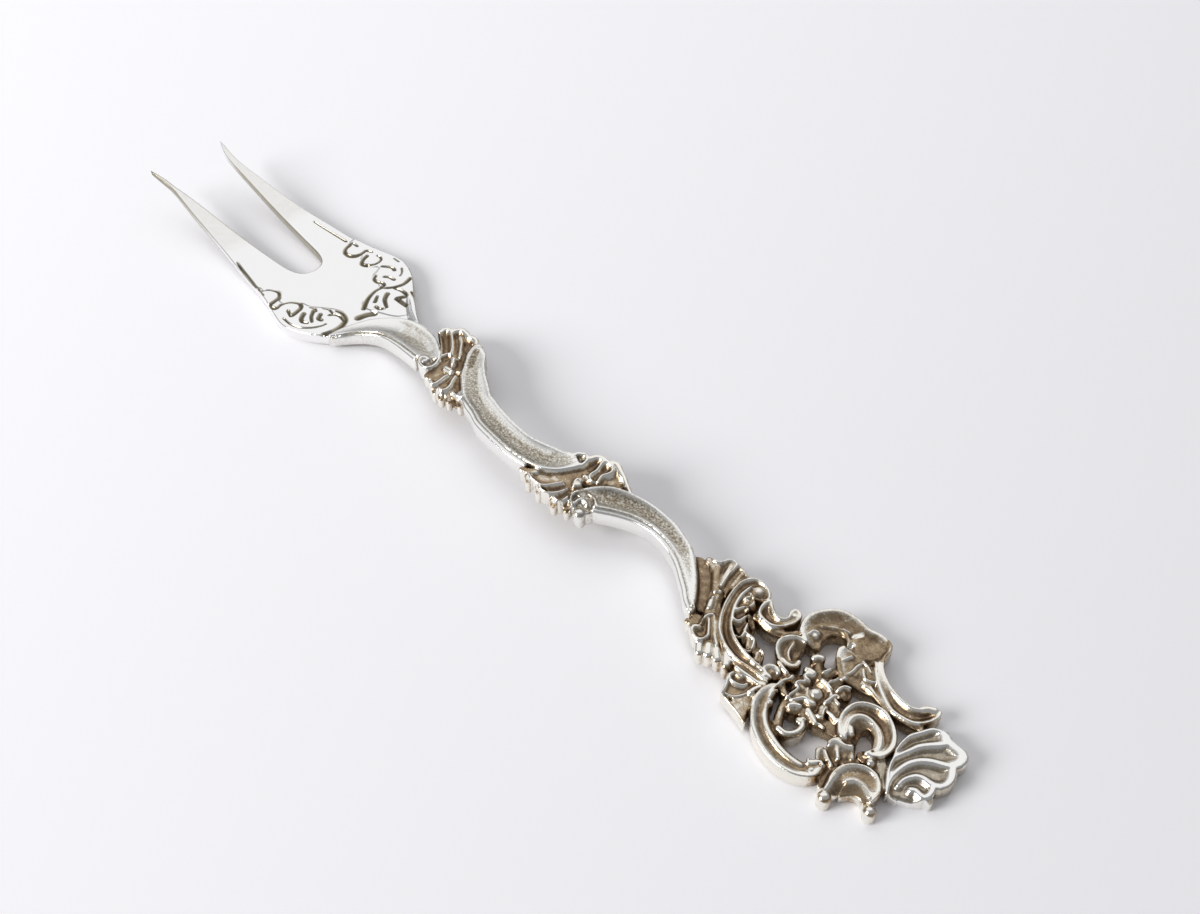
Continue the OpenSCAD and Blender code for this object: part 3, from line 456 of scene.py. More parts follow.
# Leaf scroll: U scroll, C scroll, arch with its tail, leaflets
carve("leaf_scroll", (126, -2), """
bed 0.72 0.17: +-4.67,4.09 -4.23,4.29 -3.69,3.85 -2.95,3.41 -2.15,3.28 -1.57,3.58 -1.37,4.2 -1.63,4.76 -1.56,5.49
-0.97,5.61 -0.48,5.19 -0.42,4.34 -0.61,3.54 -1.05,2.69 -1.68,2.06 -2.45,1.78 -3.22,1.8 -4.08,2.09 -4.45,2.85
-4.62,3.71
roll: -1.01,4.88
roll 0.5 -0.35: -3.22,1.63 -2.03,1.55 -0.87,1.96 0,2.71 0.79,3.93
crest 0.14 0.5 -0.1: -2.94,1.57 -2.27,1.59 -1.63,1.64
web 0.5 -0.5: -4.08,1.74 -3.09,1.6
bed 0.87 0.17: +1.88,3.2 1.26,3.09 0.73,2.75 0.26,2.19 -0.02,1.41 0.05,0.66 0.43,0 1.05,-0.55 1.87,-0.87 2.67,-0.85
3.3,-0.48 3.57,-0.02 3.51,0.61 / 2.96,0.95 2.65,1.69 2.49,2.42 2.32,3.13
crest 0.12 0.5 -0.2: 1.26,2.13 1.45,1.12 1.87,0.43 2.51,0.03
roll 0.28 0.05: 3.32,0.53
web 0.5 -0.3: 1.73,3.3 2.1,3.91
bed 0.85 0.2: +2.08,3.17 1.16,3.65 0.59,4.12 0.19,4.92 0.04,5.83 0.18,6.79 0.59,7.79 1.19,8.67 1.93,9.39 2.8,9.79
3.67,9.95 4.62,10 5.54,9.88 6.14,9.91 6.92,10.19 7.82,10.29 8.62,10.17 9.09,9.9 / 9.31,8.62 9.35,6.88 / 8.44,6.32
7.2,6.26 6.09,6.23 5.37,6.43 5.06,6.94 4.55,7.13 3.98,6.99 3.42,6.47 3.13,5.68 3.28,4.72 3.67,3.93 3.39,3.39 2.55,3.2
roll 0.66 -0.1 0.6: 2.19,4.61
roll 0.3 -0.35: 1.38,5.67 1.81,6.31 2.5,6.96 3.25,7.53 4.03,7.7 4.78,7.43 5.4,6.95
crest 0.13 0.5 0.05: 1.67,4.3 1.71,5 2.27,5.19
bed 0.9 0.19: +9.09,9.9 9.33,9.27 9.37,8.54 9.64,7.78 10.05,7.13 10.66,6.56 11.52,5.99 12.51,5.56 13.47,5.33 14.5,5.19
15.4,5.22 15.99,5.45 16.34,5.73 / 16.94,6.2 / +18.1,7.1 18.28,6.6 18.13,5.61 17.65,4.65 16.99,3.94 16.2,3.59
15.41,3.45 14.58,3.33 13.66,3.58 12.66,4.07 11.64,4.66 10.61,5.46 9.79,6.3 9.18,6.94
roll 0.46,0.54 0.08 0.4: 16.56,6.02 16.91,6.52 17.51,6.88
tarnish 0.42 -0.5: 16.52,6.09 16.87,6.6 17.47,6.96
bed 0.72 0.18: +8.14,2.46 7.47,2.73 6.63,3.43 5.73,4.39 5.33,5.22 5.47,5.88 / 6.48,6.34 8.09,6.36 9.72,6.42 11.58,4.79
13.6,3.71 / 13.91,3.42 12.71,3.37 11.5,3.32 10.15,3.05 8.88,2.67
roll 0.38 -0.2: 10.15,3.82 11.08,3.85 12.69,3.49 13.55,3.29 14.91,3.32 16,3.48 16.79,3.64 17.83,4.04
web 0.6 -0.5: 12.29,4.36 14.03,3.73 15.47,3.85 17.02,4.2
bed 0.7 0.13 -0.4: 5.32,7.38 5.37,8.16 5.88,9.23 6.54,9.48 7.29,9.61 8.04,9.97 8.67,10.2 8.91,9.51 9.05,8.49 8.87,7.76
8.69,7.03 7.6,6.28 6.59,6.68
crest 0.1 0.2 -0.2: 3.73,7.87 4.26,7.98 4.65,8.04
tarnish 0.75 0.16: 0.6,6.3 1.13,7.78 2.06,8.79 3.3,9.43 4.45,9.52 5.37,9.47
tarnish 1 0.16: 6.67,8.68 7.31,7.48 8.07,7.39
tarnish 0.5 0.2: 7.19,9.74 8.14,9.84
tarnish 0.3 -0.7: 5.22,8.09 5.69,8.87
tarnish 0.28 -0.7: 5.71,6.53 5.83,7.05
crest 0.16,0.1: 6.11,9.83 6.89,10.03 7.83,10.13 8.59,10.11
roll 0.25 -0.22: 1.9,6.29
bed 0.7 0.13 -0.55: 4.95,5.34 4.97,6.15 5.54,6.31 6.56,6.75 7.7,6.61 9.01,6.25 10.35,5.43 11.02,5.01 9.94,4.28
8.95,3.83 8.15,3.16 7.12,3.17 5.98,4.02
roll 0.5 -0.3: 7.18,4.18 7.7,3.14
roll 0.45 -0.3: 8.63,4.07 8.58,5.06
roll 0.4 -0.28: 9.09,5.72 10.03,5.14
crest 0.13 0.45: 6.06,4.12 5.46,4.74 5.23,5.42 5.41,5.97
crest 0.14: 6.52,4.51 6.68,5.13 6.87,5.63
crest 0.13 0.45: 8.09,3.63 8.16,4.27 8.08,4.88 8.18,5.53
crest 0.13 0.45: 8.79,5.26 9.23,4.78 9.73,4.41 10.42,4.6 10.69,4.79
crest 0.1 0.5 -0.1: 8.05,6.08 8.81,5.98 9.69,5.57
roll 0.34: 8.09,2.82
roll 0.22 -0.05: 6.66,3.46
roll 0.22 -0.1: 7.4,2.95
crest 0.1 0.5 -0.15: 9.66,3.91 10.31,3.73
crest 0.12 0.5 -0.15: 10.71,4.16 11.47,3.86
crest 0.13 0.45: 1.89,-0.48 2.6,-0.54 3.21,-0.29 3.39,0.26 3.29,0.68
roll 0.25,0.32: 1.83,-1.25 2.55,-1.38 3.29,-1.5
crest 0.2,0.16 0.5 0.03: -4.34,4.25 -4.47,3.62 -4.4,2.77 -4.02,2.04 -3.38,1.61
tarnish 0.32 0.5: 8.58,10.26 8.96,9.61 9.18,8.59 9.52,7.72
tarnish 0.3 0.45: 6.12,4.08 6.88,3.31 7.77,2.69
""")

# Lower scroll and the leaf beside it
carve("lower_scroll", (125, -14), """
bed 0.8 0.18: +4.7,8.51 4.12,7.59 3.95,6.69 4.08,5.63 4.49,4.67 5.16,3.77 6.12,2.8 7.14,2.13 8.3,1.61 9.47,1.29
10.53,1.16 11.45,1.19 12.31,1.36 13.09,1.62 13.81,2.03 14.48,2.68 14.79,3.4 14.68,4.24 / 13.98,4.47 13.05,3.66
12.31,3.44 11.22,3.44 9.95,3.63 8.7,4.05 7.65,4.5 6.58,5.15 5.68,5.8 5.2,6.51 4.87,7.61 4.79,8.81
roll 0.35,0.55 -0.12: 5,7.37 5.4,6.04 6.14,4.79 7.15,3.88 8.31,3.34 9.6,2.97 10.85,2.8 12.04,2.84 12.87,3
crest 0.16: 5.07,9.95 4.82,9.39 4.71,8.56 4.8,7.66 5.13,6.66
roll 0.38 0.1: 5.64,6.26
crest 0.26: 13.28,3.81 13.67,4.35 14.17,4.75 14.51,4.59
roll 0.48 0.05: 14.1,3.32
bed 0.29 0.12 -0.5: 2.37,3.62 3.03,4.38 3.44,5.11 / 4.31,4.38 4.76,3.45 5.14,2.53 / 3.74,2.88 2.82,3.2
line 0.2 -0.6: 1.28,3.36 2.58,3.14 3.73,2.92 5.18,2.53
roll 0.35 -0.05: 0.12,6.76 0.91,6.8 1.88,6.94 2.87,7.05 3.63,7.41
web 0.6: 1.81,6.78 2.96,5.82 4.19,4.63
bed 0.7 0.13 -0.6: -0.21,5.84 0.03,6.4 0.83,6.91 1.9,6.85 2.83,6.2 3.97,4.96 4.55,3.96 4.24,3.4 3.37,3.44 2.31,3.69
1.1,3.36 0.71,4.41 0.27,5.19
crest 0.13 0.45 -0.1: 0.33,6.05 0.29,5.58 0.54,5.21 1.08,5.14 1.75,5.31 2.25,5.68 2.36,6.1
roll 0.32 -0.2: 0.82,6.24 1.33,6.32
crest 0.15 0.5 -0.2: 0.05,5.53 0.43,4.93 0.9,4.22 1.17,3.29
line 0.11 -0.35: 1.18,3.2 1.71,3.58 2.3,3.86 2.73,4.46 3.05,5.24
crest 0.28: 3.34,5.66 3.39,6.24 3.56,6.87
crest 0.13 0.45: 4.01,7.38 4.15,7.97 4.47,8.34 4.93,8.6
crest 0.15 0.45: 5.12,6.7 4.95,7.18 4.98,7.59 5.17,7.96
roll 0.36: 5.56,6.3
crest 0.17 0.3: 12.99,4.09 13.34,3.69 13.74,4.12 14.17,4.79
crest 0.14 0.3: 13.16,1.75 13.59,2.32 14.08,2.65 14.48,2.89 14.71,3.43 14.41,3.88
tarnish 1.2 -0.2: 1.06,4.42 2.63,4.53 3.9,3.88
""")

# Rosette: petals round a bead, curl, leaf and small ring
carve("rosette", (127, -9), """
web 1.7 -0.9: 4.73,8.05 5.96,6.62 6.99,6.03
web 1.1 -0.75: 4.73,5.09 5.46,3.48
web 0.7 -0.75: 1.16,4.54 2.55,5.43 3.81,6.15
web 0.6: 5.85,3.77 6.76,3.94 8.26,3.72
roll 0.46 -0.08 0.5: 7.17,2.03 7.59,1.99 7.95,1.69 8.01,0.83 7.67,0.11 7.13,-0.32 6.33,-0.38
roll 0.55 -0.4: 4.55,2.8 4.93,1.69 5.41,0.71 5.91,0
roll 0.4 -0.35: 6.17,3.37 6.89,2.99 7.21,2.32
line 0.13 -0.55: 5.23,-0.03 6.06,-0.4 7.28,-0.41
bed 0.58 0.17: +0.25,3.59 0.2,4.28 0.55,4.9 1.08,5.11 1.77,4.84 / 2.09,4.34 1.85,3.69 1.33,3.37 0.71,3.38
roll 0.5 -0.15: 1.17,4.3
roll 0.36 0.05: 0.97,3.31
roll 0.52,0.55 -0.3 0.45: 3.69,9.37 4.38,8.62 5.09,7.9
tarnish 0.4 0.3: 3.79,9.26 4.38,8.62 5,8.01
roll 0.45 -0.28: 5.44,8.81 5.8,9.54
roll 0.45 -0.28: 6.82,8.42 7.01,9.06
roll 0.45 -0.32: 7.98,8.47 8.46,8.15
roll 0.5 -0.28: 8.14,6.39 8.71,6.39 9.23,5.92
roll 0.42 -0.22: 7.82,5.14 8.2,4.41
web 0.75: 7.7,3.3 8.68,3.52 9.71,3.9 10.7,4.1
roll 0.48,0.38 -0.06: 7.06,3.67 7.98,3.29 8.62,3.01
roll 0.5 -0.2: 5,4.31 5.68,4.83
roll 0.5 -0.22: 4.26,5.38 4.86,5.41
roll 0.5 0.02: 4,7.21 4.21,7.4
roll 0.42 0.05 0.3: 3.16,9.25 3.34,9.67 3.73,9.9
crest 0.26,0.28 0.2 0.05: 3.52,7.47 3.91,7.68 4.46,7.74
crest 0.18 0.25: 3.87,6.73 4.14,7.13 4.54,7.39
crest 0.2 0.25: 4.18,6.53 4.66,6.57
roll 0.85 0.1 0.75: 6.26,5.94
crest 0.2,0.25 0.4: 5.62,7.76 6.25,7.74 6.94,7.57
crest 0.16 0.4 -0.15: 6.89,7.66 7.36,7.18 7.61,6.51 7.55,5.82
crest 0.1 0.25 -0.12: 5.17,5.87 5.55,5.24 6.27,4.88 6.93,5.05
crest 0.15 0.3: 5.04,8.6 5.21,9.12 5.36,9.64
crest 0.14 0.3: 6.32,8.29 6.6,8.82 6.66,9.36
roll 0.36 0.02: 7.11,9.74
web 0.75 -0.55: 6.97,7.34 7.69,7.9 8.44,8.41
crest 0.2 0.45: 7.65,8.1 7.69,8.66 8,9.05 8.42,9.21
crest 0.13,0.2 0.35: 7.74,5.75 7.76,6.49 7.88,7.29 8.37,7.37
crest 0.16: 2.71,3.57 2.59,4.07 2.75,4.6 3.1,5.13 3.03,5.65
roll 0.45 -0.3: 3.05,3.97 3.76,3.5
crest 0.13 0.3: 3.86,5.3 4,5.8 4.43,6.08
crest 0.13 0.25: 4.4,3.7 4.47,4.32 4.48,4.98 3.98,5.1
crest 0.16,0.28 0.3: 5.02,3.32 5.42,3.98 5.8,4.51 6.41,4.5 6.88,4.67
roll 0.36: 4.44,3.24
crest 0.25 0.3: 5.26,2.59 5.62,3.1 6.1,3.38
roll 0.5 -0.25: 5.64,2.48 6.23,2.94
roll 0.24 -0.12: 9.07,3.28 9.59,3.2
crest 0.14 0.25: 8.11,3.92 8.59,3.86 8.67,4.21 8.26,4.95 8.22,5.42
roll 0.2,0.26 -0.06: 8.65,5.07 9.23,5.13 9.89,4.94
roll 0.2 -0.06: 8.29,6.86 8.92,6.72
web 0.55: 8.11,5.81 9.16,5.31 10.05,4.63
crest 0.15 0.5 -0.05: 7.44,1.81 7.33,2.52 7.73,2.47
""")

# Inner scroll with its sprigs
carve("inner_scroll", (134, -9), """
bed 0.72 0.2: +4.2,4.04 3.49,4.81 3.02,5.65 2.84,6.44 2.83,7.31 3.05,8.13 3.56,8.81 4.32,9.32 5.27,9.6 6.23,9.55
7.18,9.21 8.07,8.63 8.79,7.88 9.25,7.02 9.36,6.05 9.18,5.2 8.77,4.66 8.19,4.31 7.75,4.21 / +8.29,4.98 8.36,5.52
8.03,6.3 7.54,6.91 6.77,7.42 5.93,7.66 5.16,7.7 4.49,7.45 4.06,6.89 3.97,6.11 4.26,5.26 4.75,4.45
bed 1.01 0.14: +4.75,4.45 4.26,5.26 3.97,6.11 4.06,6.89 4.49,7.45 5.16,7.7 5.93,7.66 6.77,7.42 7.54,6.91 8.03,6.3
8.36,5.52 8.29,4.98 / 7.81,4.83 7.39,5.79 6.92,6.42 6.1,6.77 5.67,6.4 5.77,5.55 6.16,4.64 5.97,4.24 5.26,4.23
roll 0.36 0.05: 7.93,4.45
roll 0.34: 4.68,5.42 5.17,4.91
roll 0.3 0.05: 4.57,3.98 4.98,3.98
roll 0.52 0.05: 8.77,3.68
web 0.5 -0.5: 4.61,4.18 5.34,3.83 6.14,3.75
web 0.6: 7.53,3.84 8.7,3.81 9.63,3.72
bed 0.72 0.17: +4.17,2.26 4.23,2.81 4.64,3.38 5.09,3.25 5.62,3.26 6.19,3.62 / 6.62,3.63 7.31,2.88 7.14,1.95 6.53,1.29
6.24,0.51 4.93,1.03 4.42,1.23
bed 0.51 0.14 -0.1: +4.68,-0.35 4.14,0.37 4,1.06 4.22,1.31 / 4.81,1.09 5.53,0.57 5.24,0.06
web 0.55: 6.12,0.73 6.07,-0.16 6.57,-1.27 6.9,-2
web: 6.56,1.86 7.55,2.75
crest 0.15 0.45: 4.4,2.07 4.21,2.67 4.48,3.08 4.91,3.15 5.35,3.15 5.78,3.37 6.17,3.75
roll 0.34,0.26 -0.15: 4.95,2.65 6.05,1.56
roll 0.3 -0.25: 6.38,3.4 7.09,2.65
roll 0.26 -0.35: 5.75,3.1 6.48,2.31
roll 0.24,0.2 -0.1: 4.55,1.18 5.27,0.73 6.16,0.33
crest 0.12 0.45 -0.2: 4.37,0.04 3.76,0.76 4.08,1.23
crest 0.1 0.5 -0.1: 2.76,6.48 3.11,5.68 3.53,4.9 4.09,4.05
roll 0.22: 4.43,3.85 5,3.87
roll 0.5 -0.05: 8.67,3.74
crest 0.17 0.3: 2.96,6.97 2.93,7.77 3.41,8.71 4.21,9.27 5.14,9.66 6.16,9.73 7.44,9.07
crest 0.2,0.27 0.3: 7.62,8.85 8.03,8.48 8.51,8 8.99,7.11 9.17,6.11 8.98,5.22 8.42,4.6 7.81,4.24
crest 0.14 0.3: 3.9,6.03 3.91,6.76 4.32,7.41 4.94,7.78 5.88,7.77 6.82,7.36 7.58,6.78 8.06,5.9 8.12,5.17 7.84,4.76
roll 0.5 0.03: 8.7,3.7
""")

# Foot scroll
carve("foot_scroll", (137, -14), """
bed 0.8 0.15: +4.55,2.63 4.36,3.54 4.15,4.39 4.02,5.31 4.11,6.07 4.49,6.82 5.13,7.48 5.82,7.86 6.56,8 7.25,7.91
7.88,7.54 8.39,7 8.74,6.29 8.74,5.59 8.71,4.93 / +8.47,5.44 8.06,5.57 7.45,5.81 6.76,5.96 6.11,5.89 5.7,5.53 5.49,5.01
/ 5.44,4.34 5.69,3.35 5.32,2.77
bed 0.87 0.12: +5.49,5.01 5.7,5.53 6.11,5.89 6.76,5.96 7.45,5.81 8.06,5.57 8.47,5.44 / 8.66,4.87 8.29,4.3 7.72,4.52
7.04,4.46 6.44,3.98 5.84,3.34 5.44,4.34
line 0.1 -0.25: 6.43,5.64 6.93,5.64 7.54,5.49 8.11,5.39
roll 0.78 0 0.7: 4.96,2.06
roll 0.72 0 0.7: 9.27,4.24
crest 0.18 0.3: 4.49,2.59 4.3,3.44 3.95,4.4 3.85,5.25 4.03,6.13 4.48,6.87 5.17,7.5 5.91,7.88 6.64,7.9 7.46,7.63
8.12,7.2 8.48,6.63 8.44,6.03 8.08,5.74
crest 0.14 0.3: 5.44,4.96 5.63,5.46 6.07,5.84 6.76,5.91 7.4,5.85 8.13,5.69
""")

# Shell finial: flutes between its ribs
carve("shell_finial", (140, -7), """
web 0.5 -0.5: 2.98,3.16 3.97,2.28 4.92,1.37 5.66,0.63
bed 0.7 0.13 -0.6: 6.02,0.37 5.3,1.52 4.69,2.41 4.2,3.34 3.92,4.32 3.51,5.26 3.37,6.41 3.45,7.65 3.89,8.65 4.33,9.65
4.74,10.29 5.51,10.65 6.3,10.78 6.94,10.31 7.79,10.14 8.57,10.17 9.24,9.98 9.47,9.43 9.34,8.71 9.26,8.14 9.48,7.49
9.86,6.64 9.9,5.81 9.59,5.07 9.38,4.5 9.57,3.85 9.65,2.99 9.36,2.43 8.82,1.82 8.2,1.31 7.53,0.87 6.76,0.55
crest 0.22,0.18 0.4: 6.18,0.07 5.44,1.15 4.85,2.06 4.38,3 4.1,3.98 3.72,4.85
crest 0.18,0.26 0.4: 3.72,4.85 3.56,6.01 3.65,7.24 4.08,8.23 4.53,9.21 4.94,9.85 5.71,10.2
crest 0.45,0.6 1: 5.96,10.16 6.5,10.03 6.83,9.68
crest 0.2,0.42 0.4: 4.14,3.93 4.41,4.91 4.77,5.99 5.08,6.93 5.63,7.76 6.32,8.6 6.87,9.42
crest 0.57 1.1: 6.93,9.74 7.86,9.67 8.67,9.64 9.18,9.38 9.36,8.79 9.26,8.14 9,7.62
crest 0.27,0.42 0.4: 5.35,1.92 5.34,2.78 5.41,3.63 5.61,4.52 6.01,5.33 6.53,5.99 7.26,6.56 7.99,6.95 8.7,7.35
9.05,7.65
line 0.14,0.26: 5.95,0.55 5.59,1.3 5.39,1.87
crest 0.45,0.38 0.9: 9.14,7.57 9.54,7.03 9.89,6.28 9.95,5.49 9.7,4.84 9.36,4.54
crest 0.18,0.45 0.4: 6.45,1.64 6.44,2.5 6.69,3.2 7.11,3.88 7.74,4.2 8.41,4.26 9.08,4.34 9.58,4.62
crest 0.36,0.34: 9.08,4.34 9.33,3.66 9.42,2.93 9.23,2.47 8.72,2.38 8.14,2.45 7.72,2.19
web 0.55 -0.8: 6.49,0.76 7.35,1.15 8.15,1.62 8.89,2.35
roll 0.3 -0.5: 7.06,0.97
line 0.1 -0.65: 6.39,0.2 6.85,0.3 7.3,0.44
roll 0.3 -0.7: 7.81,1.37 8.28,1.52
roll 0.45 -0.8: 9.7,2.7
""")

# Upper clasp
carve("upper_clasp", (60, -4), """
web 0.8 -0.7: 4.9,6.6 5.1,4.5 5.3,2.5 5,1
web 0.8 -0.75: 7.65,0.53 9.58,0.49 11.52,0.85
bed 0.7 0.13 -0.85: -2.01,8.18 -2.14,8.93 -1.88,9.38 -1.16,9.62 -0.71,9.92 -0.55,10.29 0.12,10.74 1.31,10.59 2.2,10.36
3.03,10.51 4.01,9.95 4.46,8.69 5.12,7.34 6.43,6.04 7.3,4.94 8.15,4.1 7.5,3.52 6.59,2.99 5.29,2.91 4.11,3.22 3.13,3.99
1.88,5.36 -0.2,6.91
bed 0.7 0.13 -0.85: 5.36,0.59 4.33,1.55 4.02,2.34 4.11,3.22 5.13,3.04 6.51,3.05 7.42,3.58 8.15,4.1 9.67,2.84
11.44,1.62 11.36,1.04 10.85,0.83 9.74,1.1 9.19,0.61 8.74,0.2 8.06,0.11 6.73,0.23
crest 0.36 0.45 0.02: -1.18,7.75 -1.27,8.42 -0.76,8.91 -0.2,8.95
tarnish 0.34 -0.6: -1.21,7.77 -1.29,8.43 -0.78,8.92 -0.23,8.97 0.31,9.68 0.97,10.13 2.08,9.95 3.43,9.84 4.45,9.61
tarnish 1.5 -0.2: 0.45,9.18 2.61,7.12 4.69,4.83 6.62,2.51 9.04,1.52
crest 0.15,0.09 0.7 0 0.8: -0.11,8.87 1.51,7.78 3,6.57 3.84,5.65
crest 0.1 0.7 -0.05 0.8: -0.76,7.33 1.06,6.09 2.57,4.92 3.9,3.62
crest 0.36 0.7 0 0.8: 0.04,8.83 0.12,9.35 0.41,9.77 0.97,10.13 2.08,9.95 2.86,9.71
crest 0.13,0.1 0.65 -0.08 0.75: 1.78,8.98 2.92,8.29 3.99,7.28 5.5,5.86
crest 0.34 0.7 0 0.8: 2.83,9.69 3.41,9.91 4.1,9.86 4.84,9.39
roll 0.42,0.3 0.15: 5.3,5 6.14,4.17
crest 0.1 0.3 -0.15: 3.36,4.67 3.32,5.18 3.52,5.49
roll 0.36 0.02: 5.85,3.12 6.53,3.13 7.17,3.11
tarnish 0.4 -0.2: 5.83,3.13 6.51,3.14 7.15,3.13
tarnish 0.4 -0.4: 5.15,5.1 5.98,4.28
roll 0.18 -0.25: 7.53,3.71 7.97,3.98
crest 0.16,0.1 0.7 0 0.8: 6.19,-0.03 7,-0.35 7.5,-0.12 7.49,0.81 7.33,1.71 7.36,2.31
crest 0.15,0.1 0.7 0 0.8: 8.78,-0.36 9.42,-0.25 9.57,0.39 9.33,1.2 8.77,1.99 8.35,2.92
crest 0.12 0.3 -0.1: 10.5,0.57 11.5,0.39 12.19,0.52 12.46,0.84
roll 0.42 -0.8: 7.37,-0.19 8.36,-0.73
roll 0.42 -0.85: 8.77,-0.29 9.84,-0.86
roll 0.45 -0.9: 9.82,0.23 11.02,-0.47
roll 0.45 -0.95: 11.55,0.72 12.89,-0.05
tarnish 0.7 -0.4: 7.66,-0.43 9.19,-0.47 10.46,-0.09 12.31,0.34
""")

# Lower clasp
carve("lower_clasp", (89, -7), """
web 0.4 -0.45: -1.19,0.76 -0.39,1.15 0.19,1.78
web 1 -0.7: 3.14,4.97 4.2,5.58 5.53,5.94 6.58,6.55
web 1.1 -0.7: 2.93,3.58 4.56,3.67 5.78,3.33
bed 0.7 0.13 -0.85: 3.04,6.4 3.12,7.52 2.91,8.53 3.21,9.27 3.94,9.7 5.01,9.81 5.63,10.23 6.84,9.98 8.15,9.44 9.27,8.86
10.36,8.41 9.29,7.93 8.6,7.59 7.81,7.13 7.18,6.53 6.46,5.61 6.03,4.82 5.3,4.71 3.78,5.32
bed 0.7 0.13 -0.85: -0.3,1.12 0,2.42 1.09,3.41 1.96,4.6 2.53,5.67 3.04,6.4 4.17,5.75 5.72,4.91 5.66,3.97 5.53,3.11
5.97,2.32 6.24,1.78 5.9,1.4 5.4,0.89 4.7,0.75 3.69,0.88 2.8,0.51 1.78,0.75 0.44,0.86
tarnish 0.34 -0.5: 3.45,8.04 3.72,8.79 4.38,9.18 5.09,9.22 5.82,9.64 6.45,9.89 7.44,9.5 8.73,8.96 9.73,8.39
tarnish 1.4 -0.2: 1.36,1.81 3.29,3.39 4.32,6.01 5.78,8.26 7.9,8.66
crest 0.36 0.7 0 0.8: 3.45,8.04 3.72,8.79 4.38,9.18 5.09,9.22
crest 0.14,0.1 0.7 0 0.8: 4.92,8.67 5.24,7.86 5.42,7.18 5.37,6.24 5.93,5.67 6.34,5.73
crest 0.15,0.1 0.7 0 0.8: 5.64,9.2 6.16,9.2 6.77,8.73 6.73,7.95 6.46,7.21 6.64,6.54 6.82,6.17
crest 0.36,0.2 0.7 0 0.8: 5.77,9.58 6.45,9.89 7.44,9.5 8.73,8.96 9.73,8.39 10.89,7.88
crest 0.1 0.3 -0.1: 3.68,6.22 3.64,7.06 3.48,8.01
roll 0.52 -0.05: 5.56,4.08
crest 0.13 0.3: 5.45,3.4 4.85,4.15 4.91,4.68 5.4,4.83
roll 0.25 -0.25: 4.86,5.72 5.9,5.45
crest 0.15,0.1 0.7 0 0.8: 0.34,0.6 0.98,0.43 2.28,0.44 2.9,0.85 3.52,1.84 3.98,2.79
crest 0.14,0.1 0.65 0 0.75: 2.56,0.19 3.35,0.07 4.1,0.35 4.67,1 5.03,1.83 5.13,2.52
crest 0.13,0.1 0.65 0 0.75: 5.2,0.32 5.92,0.44 6.16,1 6.13,1.8 6.02,2.39
roll 0.42 -0.75: -0.02,0.59 0.64,0.15
roll 0.45 -0.85: 2.05,0.41 2.8,-0.06
roll 0.5 -0.85: 4.49,0.65 5.45,0.04
roll 0.45 -0.85: 6.09,1.33 7.1,0.66
tarnish 0.7 -0.4: 0.18,0.42 2.43,0.17 4.96,0.32 6.57,0.99
tarnish 0.45 -0.2: 0.99,1.56 1.88,2.12 2.85,2.62
tarnish 0.5 -0.25: 7.35,7.17 7.7,8.44 8.49,8.49
""")

# Volute of the middle band
carve("middle_band", (63, -4), """
bed 0.7 0.13 -0.45: 27.54,3.38 27.47,4.05 27.77,4.68 28.45,5 28.89,4.75 28.98,4.26 28.88,3.55 28.64,2.98 28.03,2.74
line 0.13,0.18: 28.45,1.17 29.16,2.5 29.46,3.42 29.42,4.26 29.11,4.81
line 0.3: 29.11,4.81 28.61,4.97 27.87,4.49 27.63,3.81
tarnish 0.3 0.35: 28.1,3.87 28.55,4.26 28.73,4.7
roll 0.3 -0.05: 28.38,3.22
tarnish 0.45 0.45: 3.31,8.18 4.21,6.8 5.19,5.53
line 0.2: 3.04,9.33 2.41,9.2 2.19,8.81 2.54,7.88 3.01,6.94 3.8,6.06 4.72,5 5.31,4.2 6.3,3.25 7.56,2.31 9.13,1.19
""")

# Volute of the lower band
carve("lower_band", (89, -12), """
bed 0.7 0.13 -0.5: 6.7,6.85 6.11,7.59 6.17,8.51 6.76,9.34 7.65,9.5 8.67,9.13 9.56,8.19 9.7,7.38 9.06,6.22 8.1,5.95
line 0.15: 7.48,6.24 6.68,6.73 6.23,7.49 6.26,8.24
line 0.13,0.09 -0.05: 9.36,8.49 8.35,9 7.47,8.98
crest 0.14 0.35 -0.05: 7.45,6.79 7.32,7.26 7.5,7.68 8.18,7.83 8.63,7.64
roll 0.75 -0.15: 8.74,6.23
tarnish 0.22 0.5: 7.03,7.1 6.58,7.94 6.78,8.74 7.75,9.01 8.74,8.51 9.32,7.64
""")


def blurred(field, mask, sigma):
    """Mean of a field over the metal near each grid point; sigma in cells."""
    n = int(3 * sigma) + 1
    k = np.exp(-0.5 * (np.arange(-n, n + 1) / sigma) ** 2)
    k /= k.sum()

    def both_ways(a):
        for axis in (0, 1):
            a = np.apply_along_axis(lambda v: np.convolve(v, k, "same"), axis, a)
        return a

    return both_ways(np.where(mask, field, 0)) / np.maximum(both_ways(mask.astype(float)), 1e-6)


def rounded(depth, radius):
    """Drop of a rounded edge, at a depth inside the outline."""
    t = ramp(depth, radius, 0)
    return radius * (1 - np.sqrt(1 - t**2))


def sampled(field, x, y):
    """A field between its grid points."""
    i, j = np.interp(x, GX, np.arange(len(GX))), np.interp(y, GY, np.arange(len(GY)))
    i0, j0 = np.minimum(i.astype(int), len(GX) - 2), np.minimum(j.astype(int), len(GY) - 2)
    s, t = i - i0, j - j0
    return ((field[i0, j0] * (1 - s) + field[i0 + 1, j0] * s) * (1 - t)
            + (field[i0, j0 + 1] * (1 - s) + field[i0 + 1, j0 + 1] * s) * t)


def middles(field):
    """Means over the cells of the grid."""
    return (field[:-1, :-1] + field[1:, :-1] + field[:-1, 1:] + field[1:, 1:]) / 4


